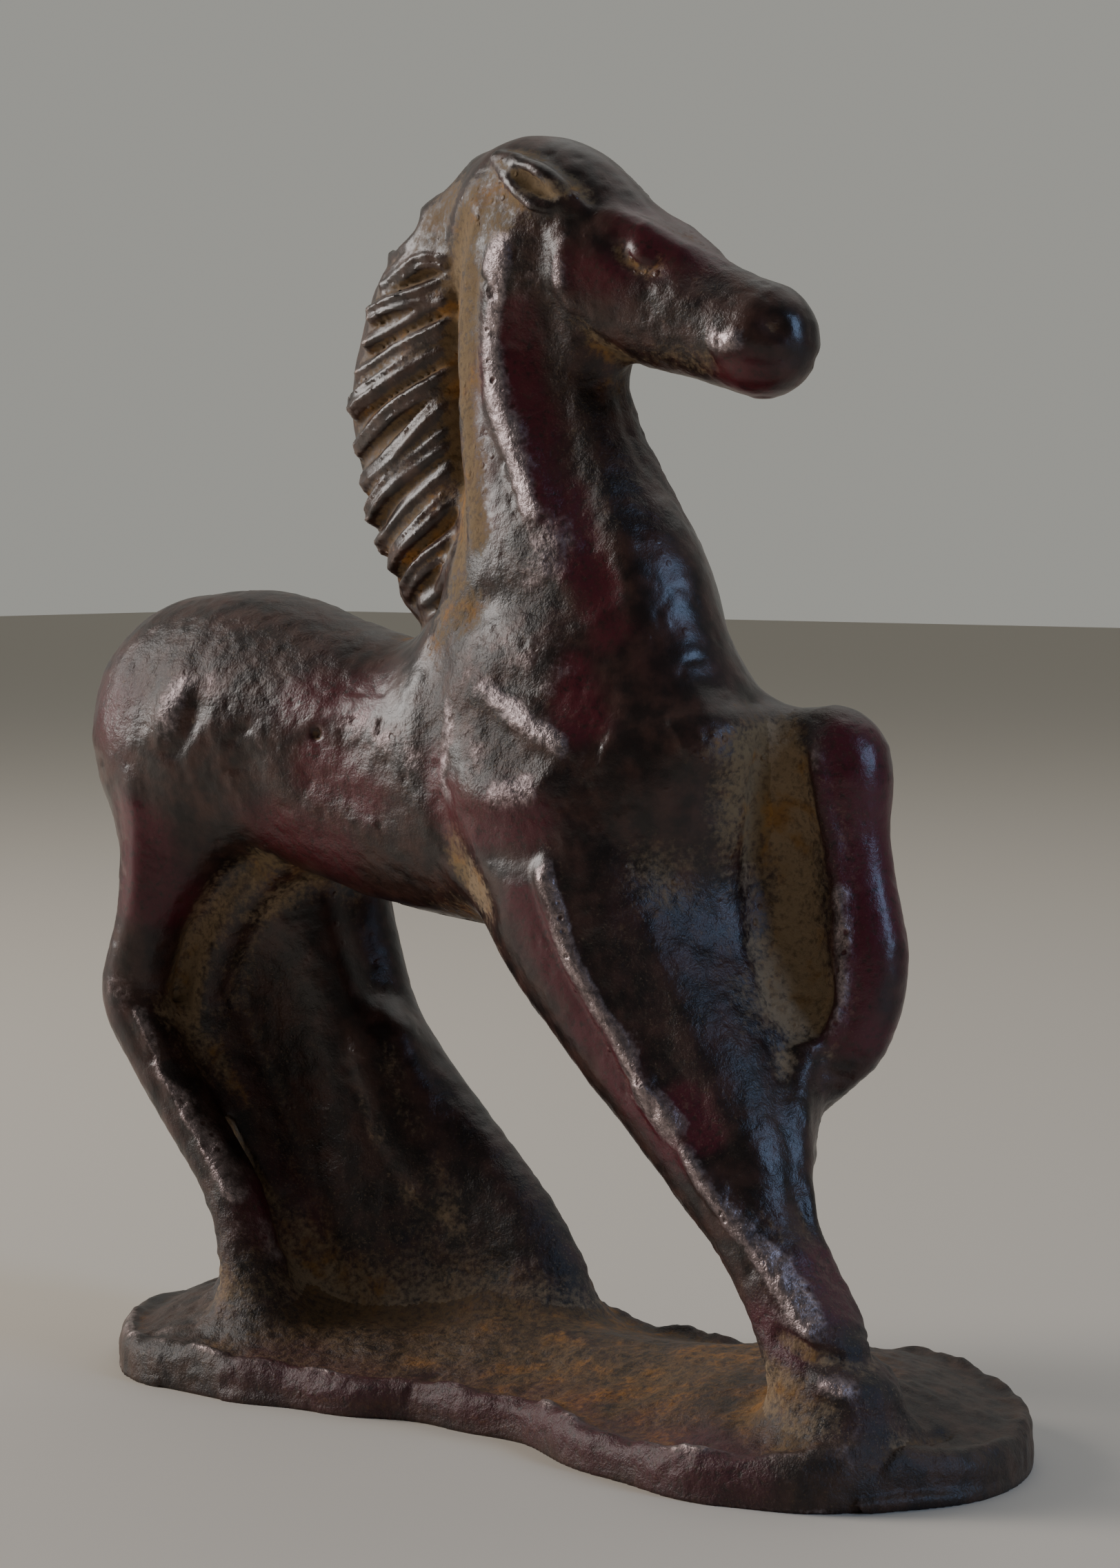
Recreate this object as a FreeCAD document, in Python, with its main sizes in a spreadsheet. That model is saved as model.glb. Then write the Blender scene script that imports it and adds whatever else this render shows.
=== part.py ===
import FreeCAD, Part
import math
import os
import Sketcher

# Small cast-bronze horse on its own ground, built the sectional way: solid castings that are
# coped to fit one another, located on turned dowels, brazed and chased smooth, and then
# drawn down on the ground casting with three studs and nuts.
#
# Frame: +X the way the horse faces, +Y its left side, +Z up, millimetres.
# Origin: the middle of the whole figure's footprint, on the flat filed underside.

doc = FreeCAD.newDocument("bronze_horse")
sheet = doc.addObject("Spreadsheet::Sheet", "Dims")
given = {}


def dim(alias, value):
    """One named number in the sheet; gives back the text that an expression uses for it."""
    row = len(given) + 1
    sheet.set("A%d" % row, alias)
    sheet.set("B%d" % row, repr(round(float(value), 4)))
    sheet.setAlias("B%d" % row, alias)
    given["Dims." + alias] = float(value)
    return "Dims." + alias


# Everything is measured from the middle of the girth; the whole figure then moves forward by
# this much, which puts the middle of its footprint on the origin.
DATUM_X = 1.2

# Each casting is a run of oval sections.  A section is
#   (x, y, z, tilt, half depth in the side view, half width across the horse)
# and tilt is the lean of the section's own axis: 0 points up, 90 points forward, 180 down.
SECTIONS = {
    "trunk": [
        (-72.5, 0, 83.0, 90, 5.0, 5.0), (-69.0, 0, 83.0, 90, 12.5, 11.0),
        (-60.0, 0, 84.0, 90, 17.5, 15.5), (-49.0, 0, 84.0, 90, 18.3, 16.5),
        (-36.0, 0, 82.5, 90, 17.0, 15.5), (-22.0, 0, 79.5, 90, 17.5, 14.5),
        (-9.0, 0, 79.0, 90, 18.5, 15.0), (3.0, 0, 79.0, 90, 19.0, 16.5),
        (14.0, 0, 79.0, 90, 18.0, 16.5), (24.0, 0, 80.0, 90, 14.5, 13.0),
        (30.5, 0, 81.5, 90, 9.0, 8.5), (33.0, 0, 82.0, 90, 4.0, 4.0)],
    "neck_body": [
        (7.0, 0, 86.0, 0, 19.5, 12.0), (6.2, 0, 97.0, 0, 20.6, 13.0),
        (4.6, 0, 107.0, -3, 16.4, 11.8), (1.8, 0, 118.0, -6, 13.0, 10.2),
        (0.0, 0, 130.0, -4, 11.8, 9.2), (-0.3, 0, 141.0, 2, 11.6, 8.6),
        (0.5, 0, 148.0, 8, 9.5, 7.0)],
    "head_body": [
        (-9.5, 0, 150.2, 108, 4.5, 3.5), (-6.0, 0, 149.5, 108, 8.8, 7.0),
        (2.0, 0, 147.3, 112, 11.3, 9.0), (12.0, 0, 142.5, 114, 11.2, 9.0),
        (20.0, 0, 139.0, 116, 9.2, 7.6), (28.0, 0, 135.6, 114, 7.6, 6.2),
        (34.5, 0, 133.2, 112, 7.6, 6.3), (39.3, 0, 131.6, 112, 6.0, 5.0),
        (41.6, 0, 130.8, 112, 2.5, 2.2)],
    "mane_body": [
        (-7.0, 0, 155.0, 200, 4.5, 3.2), (-12.0, 0, 149.0, 198, 8.0, 4.6),
        (-18.6, 0, 138.0, 188, 11.0, 5.0), (-20.8, 0, 127.0, 180, 11.8, 5.0),
        (-18.8, 0, 116.0, 172, 10.8, 5.0), (-15.8, 0, 106.0, 165, 8.4, 4.5),
        (-13.5, 0, 98.5, 165, 4.5, 3.4)],
    "ear_body": [
        (14.0, 7.2, 149.4, -66, 1.3, 1.1), (10.0, 7.6, 151.6, -66, 3.2, 2.2),
        (4.0, 7.4, 154.4, -66, 3.4, 2.3), (-2.0, 6.4, 157.2, -66, 1.3, 1.1)],
    "stand_leg": [
        (8.0, -7.0, 80.0, 160, 13.0, 8.0), (11.0, -9.0, 68.0, 156, 12.5, 9.0),
        (21.0, -8.0, 55.0, 150, 11.5, 8.5), (30.0, -7.5, 44.0, 145, 10.0, 8.0),
        (37.0, -8.5, 35.0, 140, 7.5, 7.0), (43.0, -9.5, 27.0, 137, 5.8, 5.8),
        (47.5, -10.5, 20.5, 138, 5.6, 5.4), (51.5, -11.0, 14.5, 148, 6.6, 6.2),
        (54.3, -11.3, 9.5, 165, 7.6, 6.8), (55.5, -11.5, 5.0, 180, 8.4, 7.2)],
    "forearm": [
        (18.0, 7.5, 79.0, 90, 9.0, 6.0), (28.0, 7.5, 80.5, 90, 8.2, 5.5),
        (40.0, 7.5, 81.0, 90, 7.0, 5.0), (45.0, 7.5, 81.0, 90, 4.0, 3.6)],
    "cannon": [
        (40.5, 7.5, 86.5, 180, 5.5, 4.4), (41.0, 7.5, 79.0, 180, 6.6, 5.0),
        (41.7, 7.5, 68.0, 178, 6.6, 5.0), (43.0, 7.0, 59.0, 180, 6.6, 5.0),
        (41.5, 6.5, 52.0, 205, 6.3, 5.0), (36.0, 3.0, 44.0, 215, 6.0, 5.5),
        (32.0, -1.0, 38.0, 215, 5.0, 5.0)],
    "fold_web": [
        (32.5, 7.2, 78.0, 180, 8.5, 4.0), (33.5, 7.0, 68.0, 180, 9.0, 4.0),
        (35.0, 6.5, 58.0, 178, 8.6, 4.2), (36.5, 4.5, 50.0, 172, 7.4, 4.8),
        (37.0, 0, 43.0, 162, 6.4, 5.6), (38.5, -4.0, 36.0, 150, 5.5, 5.4)],
    "brisket": [
        (14.0, 0, 77.0, 170, 15.0, 10.0), (18.5, 0.5, 65.0, 165, 14.0, 9.5),
        (25.0, 0, 54.0, 155, 11.5, 8.0), (32.0, -3.0, 44.0, 148, 8.5, 7.0),
        (37.5, -6.0, 36.0, 145, 6.2, 6.0)],
    "near_hind": [
        (-54.0, -8.0, 80.0, 190, 13.0, 7.5), (-56.0, -10.0, 68.0, 186, 7.4, 6.2),
        (-58.5, -11.5, 58.0, 184, 4.8, 4.6), (-60.5, -12.0, 48.0, 178, 4.6, 4.5),
        (-56.5, -12.3, 41.0, 150, 4.2, 4.0), (-48.5, -12.5, 31.0, 145, 3.9, 3.8),
        (-42.0, -12.5, 23.5, 150, 4.1, 3.9), (-39.0, -12.5, 17.5, 160, 4.7, 4.6),
        (-37.5, -12.5, 10.0, 168, 5.4, 5.2)],
    "off_hind": [
        (-53.0, 8.0, 78.0, 180, 14.0, 7.5), (-50.0, 9.0, 66.0, 175, 13.0, 7.5),
        (-46.0, 10.0, 54.0, 165, 11.0, 7.0), (-38.5, 10.5, 42.0, 150, 8.5, 6.5),
        (-28.0, 11.0, 32.0, 140, 7.5, 6.0), (-18.5, 11.0, 24.0, 130, 7.0, 6.0),
        (-12.5, 11.0, 17.5, 138, 7.2, 6.0), (-9.0, 11.0, 11.0, 160, 7.8, 6.4),
        (-8.0, 11.0, 5.5, 180, 8.2, 6.6)],
    "tail_body": [
        (-53.0, 0.5, 73.0, 180, 9.0, 5.5), (-50.0, 1.0, 62.0, 176, 10.5, 6.5),
        (-47.0, 1.5, 50.0, 172, 11.5, 6.5), (-43.5, 2.5, 37.0, 165, 12.5, 6.8),
        (-38.5, 3.0, 24.0, 163, 13.0, 7.5), (-35.0, 3.0, 9.0, 170, 14.5, 8.5)],
    "thigh_web": [
        (-53.0, -4.5, 68.0, 190, 9.0, 5.0), (-56.5, -5.0, 57.0, 188, 6.5, 4.5),
        (-58.0, -5.5, 47.0, 180, 5.6, 4.2), (-55.5, -5.5, 39.5, 155, 6.0, 4.2),
        (-49.5, -5.0, 30.0, 148, 6.5, 4.8), (-44.5, -4.5, 20.0, 155, 7.5, 5.5),
        (-42.0, -4.0, 9.0, 168, 8.5, 7.0)],
    "heel_web": [
        (-34.0, 6.5, 42.0, 165, 6.5, 4.5), (-29.5, 7.0, 29.0, 160, 8.0, 5.0),
        (-24.5, 7.5, 18.0, 160, 9.0, 5.5), (-21.0, 8.0, 8.0, 168, 10.0, 6.5)],
    "ground_rear": [
        (-35.5, -0.5, 0, 0, 33.0, 25.0), (-35.5, -0.5, 5.5, 0, 32.6, 24.6),
        (-35.0, 0, 9.5, 0, 28.5, 20.5), (-34.0, 1.0, 12.0, 0, 20.0, 13.0)],
    "ground_mid": [
        (2.0, 2.0, 0, 0, 40.0, 20.5), (2.0, 2.0, 5.0, 0, 39.6, 20.1),
        (2.0, 3.0, 9.0, 0, 35.0, 16.5), (2.0, 4.0, 11.5, 0, 27.0, 10.5)],
    "ground_front": [
        (40.0, -0.5, 0, 0, 30.0, 26.0), (40.0, -0.5, 5.0, 0, 29.6, 25.6),
        (39.0, 0.5, 8.5, 0, 25.5, 21.0), (38.0, 3.0, 12.0, 0, 17.0, 13.5)],
}

# Dowels and studs: (x, y, z of the middle, diameter, length, axis letter).
DOWELS = {
    "loin_dowels": [(-30.0, 7.0, 81.0, 5.0, 16.0, "X"), (-30.0, -7.0, 81.0, 5.0, 16.0, "X")],
    "girth_dowels": [(-6.0, 7.0, 79.0, 5.0, 16.0, "X"), (-6.0, -7.0, 79.0, 5.0, 16.0, "X")],
    "neck_dowels": [(-2.0, 0, 97.5, 5.0, 18.0, "Z"), (13.0, 0, 97.0, 5.0, 18.0, "Z")],
    "head_dowel": [(1.5, 0, 136.5, 5.0, 16.0, "Z")],
    "mane_pins": [(-12.0, 0, 130.0, 3.0, 10.0, "X"), (-11.5, 0, 114.0, 3.0, 10.0, "X")],
    "shoulder_dowels": [(15.0, -8.5, 63.5, 5.0, 16.0, "Z"), (30.0, 5.5, 81.0, 4.0, 14.0, "X")],
    "hip_dowels": [(-57.5, -9.8, 68.5, 4.0, 15.0, "Z"), (-50.0, 9.5, 68.5, 5.0, 16.0, "Z"),
                   (-52.0, 0.5, 65.5, 4.0, 11.0, "Z")],
}

STUD_SPOTS = {"near_fore": (54.5, -11.4), "near_hind": (-38.5, -12.5), "off_hind": (-10.5, 11.0)}

FIT = dim("dowel_clearance", 0.05)
BORE_SPARE = dim("bore_end_clearance", 0.25)
STUD_SPARE = dim("stud_hole_spare_depth", 0.3)
LOIN_X = dim("loin_joint_x", -30.0 + DATUM_X)
GIRTH_X = dim("girth_joint_x", -6.0 + DATUM_X)
STUD_DIA = dim("stud_diameter", 3.0)
STUD_HOLE = "(%s + 2 * %s)" % (STUD_DIA, FIT)
STUD_FOOT = dim("stud_foot_z", 0.8)
STUD_TOP = dim("stud_top_z", 19.0)
PIT_DIA = dim("nut_pit_diameter", 9.0)
PIT_DEPTH = dim("nut_pit_depth", 4.6)
WASHER_DIA = dim("washer_diameter", 7.0)
WASHER_THICK = dim("washer_thickness", 0.6)
NUT_FLATS = dim("nut_across_flats", 5.5)
NUT_HIGH = dim("nut_height", 2.4)

PIT_RUNOUT = 1.0    # how far a nut pit's cutter starts below the underside
SLAB = 120.0        # length, width and height of the slabs that part the trunk


def bind(obj, **links):
    """Tie properties to sheet expressions; a double underscore stands for a dot."""
    for prop, text in links.items():
        obj.setExpression(prop.replace("__", "."), text)
    return obj


def section(label, number, row, mirror):
    """One oval section: an ellipse whose long axis lies in the horse's side view."""
    x, y, z, tilt, depth, width = row
    key = "%s_%d_" % (label, number)
    oval = doc.addObject("Part::Ellipse", key + "oval")
    turn = FreeCAD.Rotation(FreeCAD.Vector(0, 1, 0), tilt)
    side = -1.0 if mirror else 1.0
    oval.Placement = FreeCAD.Placement(FreeCAD.Vector(x + DATUM_X, side * y, z), turn)
    return bind(oval,
                MajorRadius=dim(key + "depth", depth),
                MinorRadius=dim(key + "width", width),
                Placement__Base__x=dim(key + "fore", x + DATUM_X),
                Placement__Base__y=dim(key + "side", side * y),
                Placement__Base__z=dim(key + "rise", z))


def tube(label, source=None, mirror=False):
    """A solid skinned smoothly through a run of oval sections."""
    rows = SECTIONS[source or label]
    loft = doc.addObject("Part::Loft", label)
    loft.Sections = [section(label, k, row, mirror) for k, row in enumerate(rows)]
    loft.Solid = True
    loft.Ruled = False
    return loft


def fuse(label, shapes):
    out = doc.addObject("Part::MultiFuse", label)
    out.Shapes = shapes
    out.Refine = False
    return out


def cut(label, base, tools):
    """The base with every tool taken out of it, one after another."""
    out = base
    for k, tool in enumerate(tools):
        last = k == len(tools) - 1
        step = doc.addObject("Part::Cut", label if last else "%s_step_%d" % (label, k))
        step.Base = out
        step.Tool = tool
        step.Refine = False
        out = step
    return out


def rod(label, spot, dia_text, low_text, long_text):
    """An upright cylinder over a plan spot."""
    body = doc.addObject("Part::Cylinder", label)
    body.Placement.Base = FreeCAD.Vector(spot[0] + DATUM_X, spot[1], 0)
    return bind(body, Radius="%s / 2" % dia_text, Height=long_text, Placement__Base__z=low_text)


def dowel(label, row, grow):
    """A dowel, or with grow the bore that takes it, standing about its middle point."""
    x, y, z, dia, long, axis = row
    turn = {"X": FreeCAD.Rotation(FreeCAD.Vector(0, 1, 0), 90), "Z": FreeCAD.Rotation()}[axis]
    spare = given[BORE_SPARE] if grow else 0.0
    start = turn.multVec(FreeCAD.Vector(0, 0, -0.5 * long - spare))
    body = doc.addObject("Part::Cylinder", label)
    body.Placement = FreeCAD.Placement(FreeCAD.Vector(x + DATUM_X, y, z) + start, turn)
    key = label.replace("_bore", "")
    if grow:
        return bind(body, Radius="Dims.%s_dia / 2 + %s" % (key, FIT),
                    Height="Dims.%s_long + 2 * %s" % (key, BORE_SPARE))
    return bind(body, Radius=dim(key + "_dia", dia) + " / 2", Height=dim(key + "_long", long))


def block(label, plane_text, aft):
    """A slab reaching aft or fore from a cross plane, for parting the trunk."""
    slab = doc.addObject("Part::Box", label)
    slab.Length = slab.Width = slab.Height = SLAB
    slab.Placement.Base = FreeCAD.Vector(0, -SLAB / 2, 0)
    return bind(slab, Placement__Base__x="%s - %g" % (plane_text, SLAB if aft else 0))


def outlined_body(label):
    """A body with one empty sketch lying on its own XY plane."""
    body = doc.addObject("PartDesign::Body", label)
    flat = body.newObject("Sketcher::SketchObject", label + "_outline")
    plane = [f for f in body.Origin.OriginFeatures if f.Role == "XY_Plane"][0]
    flat.AttachmentSupport = [(plane, "")]
    flat.MapMode = "FlatFace"
    return body, flat


def round_outline(flat, diameter, text):
    """A circle about the sketch's middle with its diameter tied to the sheet."""
    circle = Part.Circle(FreeCAD.Vector(0, 0, 0), FreeCAD.Vector(0, 0, 1), diameter / 2)
    geo = flat.addGeometry(circle, False)
    flat.addConstraint(Sketcher.Constraint("Coincident", geo, 3, -1, 1))
    size = flat.addConstraint(Sketcher.Constraint("Diameter", geo, diameter))
    flat.setExpression("Constraints[%d]" % size, text)


def ring_washer():
    """Washer: a flat ring, padded from two circles."""
    body, flat = outlined_body("washer_pattern")
    round_outline(flat, given[WASHER_DIA], WASHER_DIA)
    round_outline(flat, given[STUD_DIA], STUD_HOLE)
    pad = body.newObject("PartDesign::Pad", "washer_pad")
    pad.Profile = flat
    pad.setExpression("Length", WASHER_THICK)
    return body


def hex_nut():
    """Plain nut: a six-sided pad with a round bore."""
    body, flat = outlined_body("nut_pattern")
    reach = given[NUT_FLATS] / math.sqrt(3.0)
    corners = [FreeCAD.Vector(reach * math.cos(k * math.pi / 3), reach * math.sin(k * math.pi / 3), 0)
               for k in range(6)]
    sides = [flat.addGeometry(Part.LineSegment(corners[k], corners[(k + 1) % 6]), False)
             for k in range(6)]
    for k in range(6):
        flat.addConstraint(Sketcher.Constraint("Coincident", sides[k], 2, sides[(k + 1) % 6], 1))
    guide = flat.addGeometry(Part.Circle(FreeCAD.Vector(0, 0, 0), FreeCAD.Vector(0, 0, 1), reach), True)
    flat.addConstraint(Sketcher.Constraint("Coincident", guide, 3, -1, 1))
    for side in sides:
        flat.addConstraint(Sketcher.Constraint("PointOnObject", side, 1, guide))
    for side in sides[1:]:
        flat.addConstraint(Sketcher.Constraint("Equal", sides[0], side))
    flat.addConstraint(Sketcher.Constraint("PointOnObject", sides[0], 1, -1))
    size = flat.addConstraint(Sketcher.Constraint("Radius", guide, reach))
    flat.setExpression("Constraints[%d]" % size, NUT_FLATS + " / sqrt(3)")
    round_outline(flat, given[STUD_DIA], STUD_HOLE)
    pad = body.newObject("PartDesign::Pad", "nut_pad")
    pad.Profile = flat
    pad.setExpression("Length", NUT_HIGH)
    return body


def set_of_three(label, pattern, low_text):
    """Three copies of one pattern piece, one over each stud, kept together as one sub-part."""
    copies = []
    for name, (x, y) in STUD_SPOTS.items():
        link = doc.addObject("App::Link", "%s_%s" % (label, name))
        link.LinkedObject = pattern
        link.Placement.Base = FreeCAD.Vector(x + DATUM_X, y, 0)
        copies.append(bind(link, Placement__Base__z=low_text))
    out = doc.addObject("Part::Compound", label)
    out.Links = copies
    return out


# The bodies the castings are cut from.
trunk = tube("trunk")
neck_body = tube("neck_body")
head_body = tube("head_body")
mane_body = tube("mane_body")
ears = [tube("ear_right_body", "ear_body", True), tube("ear_left_body", "ear_body")]
stand_leg = tube("stand_leg")
raised = fuse("raised_body", [tube(name) for name in ("forearm", "cannon", "fold_web", "brisket")])
near_hind = tube("near_hind")
off_hind = tube("off_hind")
tail_mass = fuse("tail_mass", [tube(name) for name in ("tail_body", "thigh_web", "heel_web")])
ground = fuse("ground_body", [tube("ground_rear"), tube("ground_mid"), tube("ground_front")])
skull = fuse("skull_body", [head_body] + ears)

# Bores for the dowels, and the holes and pits for the studs under the ground.
bores = {}
for group, rows in DOWELS.items():
    for k, row in enumerate(rows):
        dowel("%s_%d" % (group, k), row, False)
    bores[group] = [dowel("%s_%d_bore" % (group, k), row, True) for k, row in enumerate(rows)]
stud_holes = {}
pits = []
for name, spot in STUD_SPOTS.items():
    stud_holes[name] = rod("stud_hole_" + name, spot, STUD_HOLE, "0",
                           "%s + %s" % (STUD_TOP, STUD_SPARE))
    pits.append(rod("nut_pit_" + name, spot, PIT_DIA, "-%g" % PIT_RUNOUT,
                    "%s + %g" % (PIT_DEPTH, PIT_RUNOUT)))

aft_of_loin = block("aft_of_loin", LOIN_X, True)
fore_of_loin = block("fore_of_loin", LOIN_X, False)
aft_of_girth = block("aft_of_girth", GIRTH_X, True)
fore_of_girth = block("fore_of_girth", GIRTH_X, False)

parts = {}
parts["ground_base"] = cut("ground_base", ground, list(stud_holes.values()) + pits)
parts["hindquarters"] = cut("hindquarters", trunk, [fore_of_loin] + bores["loin_dowels"]
                            + bores["hip_dowels"])
parts["barrel"] = cut("barrel", trunk, [aft_of_loin, fore_of_girth] + bores["loin_dowels"]
                      + bores["girth_dowels"])
parts["forehand"] = cut("forehand", trunk, [aft_of_girth] + bores["girth_dowels"]
                        + bores["neck_dowels"] + bores["shoulder_dowels"])
parts["neck"] = cut("neck", neck_body, [trunk, skull] + bores["neck_dowels"]
                    + bores["head_dowel"] + bores["mane_pins"])
parts["head"] = cut("head", skull, bores["head_dowel"])
parts["mane_crest"] = cut("mane_crest", mane_body, [trunk, neck_body, skull] + bores["mane_pins"])
parts["foreleg_right"] = cut("foreleg_right", stand_leg,
                             [trunk, ground, bores["shoulder_dowels"][0], stud_holes["near_fore"]])
parts["foreleg_left"] = cut("foreleg_left", raised,
                            [trunk, stand_leg, neck_body, bores["shoulder_dowels"][1]])
parts["hind_leg_right"] = cut("hind_leg_right", near_hind,
                              [trunk, ground, bores["hip_dowels"][0], stud_holes["near_hind"]])
parts["hind_leg_left"] = cut("hind_leg_left", off_hind,
                             [trunk, ground, bores["hip_dowels"][1], stud_holes["off_hind"]])
parts["tail"] = cut("tail", tail_mass, [trunk, ground, near_hind, off_hind,
                                        bores["hip_dowels"][2]])

for group, rows in DOWELS.items():
    pins = doc.addObject("Part::Compound", group)
    pins.Links = [doc.getObject("%s_%d" % (group, k)) for k in range(len(rows))]
    parts[group] = pins
studs = doc.addObject("Part::Compound", "hoof_studs")
studs.Links = [rod("stud_" + name, spot, STUD_DIA, STUD_FOOT, "%s - %s" % (STUD_TOP, STUD_FOOT))
               for name, spot in STUD_SPOTS.items()]
parts["hoof_studs"] = studs

washer_low = "%s - %s" % (PIT_DEPTH, WASHER_THICK)
nut_low = "%s - %s" % (washer_low, NUT_HIGH)
parts["stud_washers"] = set_of_three("stud_washers", ring_washer(), washer_low)
parts["stud_nuts"] = set_of_three("stud_nuts", hex_nut(), nut_low)

doc.recompute()

bad = [o.Name for o in doc.Objects if "Invalid" in o.State or "Error" in o.State]
if bad:
    raise RuntimeError("objects in error: " + ", ".join(bad))

os.makedirs("parts", exist_ok=True)
for label, obj in parts.items():
    obj.Label = label
    shape = obj.Shape
    if shape.isNull() or not shape.isValid():
        raise RuntimeError("no sound shape for " + label)
    box = shape.BoundBox
    print("%-16s solids %d  volume %9.1f  x %.1f..%.1f  y %.1f..%.1f  z %.1f..%.1f" % (
        label, len(shape.Solids), shape.Volume, box.XMin, box.XMax, box.YMin, box.YMax,
        box.ZMin, box.ZMax))
    shape.exportStep("parts/%s.step" % label)
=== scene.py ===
import math

import bpy
import numpy as np
import openvdb
from mathutils import Euler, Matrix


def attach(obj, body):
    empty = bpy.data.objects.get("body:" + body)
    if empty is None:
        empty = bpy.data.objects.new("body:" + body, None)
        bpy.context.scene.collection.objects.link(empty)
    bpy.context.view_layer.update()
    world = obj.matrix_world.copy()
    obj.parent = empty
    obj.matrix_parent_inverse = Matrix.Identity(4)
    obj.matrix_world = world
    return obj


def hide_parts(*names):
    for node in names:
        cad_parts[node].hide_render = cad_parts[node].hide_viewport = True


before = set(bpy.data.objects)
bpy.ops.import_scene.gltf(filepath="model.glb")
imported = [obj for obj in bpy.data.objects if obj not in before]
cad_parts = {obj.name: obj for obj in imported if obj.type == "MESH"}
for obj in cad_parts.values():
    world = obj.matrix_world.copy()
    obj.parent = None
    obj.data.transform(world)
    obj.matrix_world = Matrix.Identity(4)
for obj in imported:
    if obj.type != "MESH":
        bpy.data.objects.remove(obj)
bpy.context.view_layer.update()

# All shaping below is in millimetres, in the frame's own axes: +X forward, +Y the horse's left.
DATUM_X = 1.2
GRAIN = 0.45
LOW = np.array([-79.0, -32.0, -2.0])
HIGH = np.array([79.0, 32.0, 165.0])
SHAPE = tuple(int(n) for n in np.ceil((HIGH - LOW) / GRAIN) + 1)
AXES = [(LOW[a] + GRAIN * np.arange(SHAPE[a])).astype(np.float32) for a in range(3)]
FAR, DEEPEST = 9.0, -20.0

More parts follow.
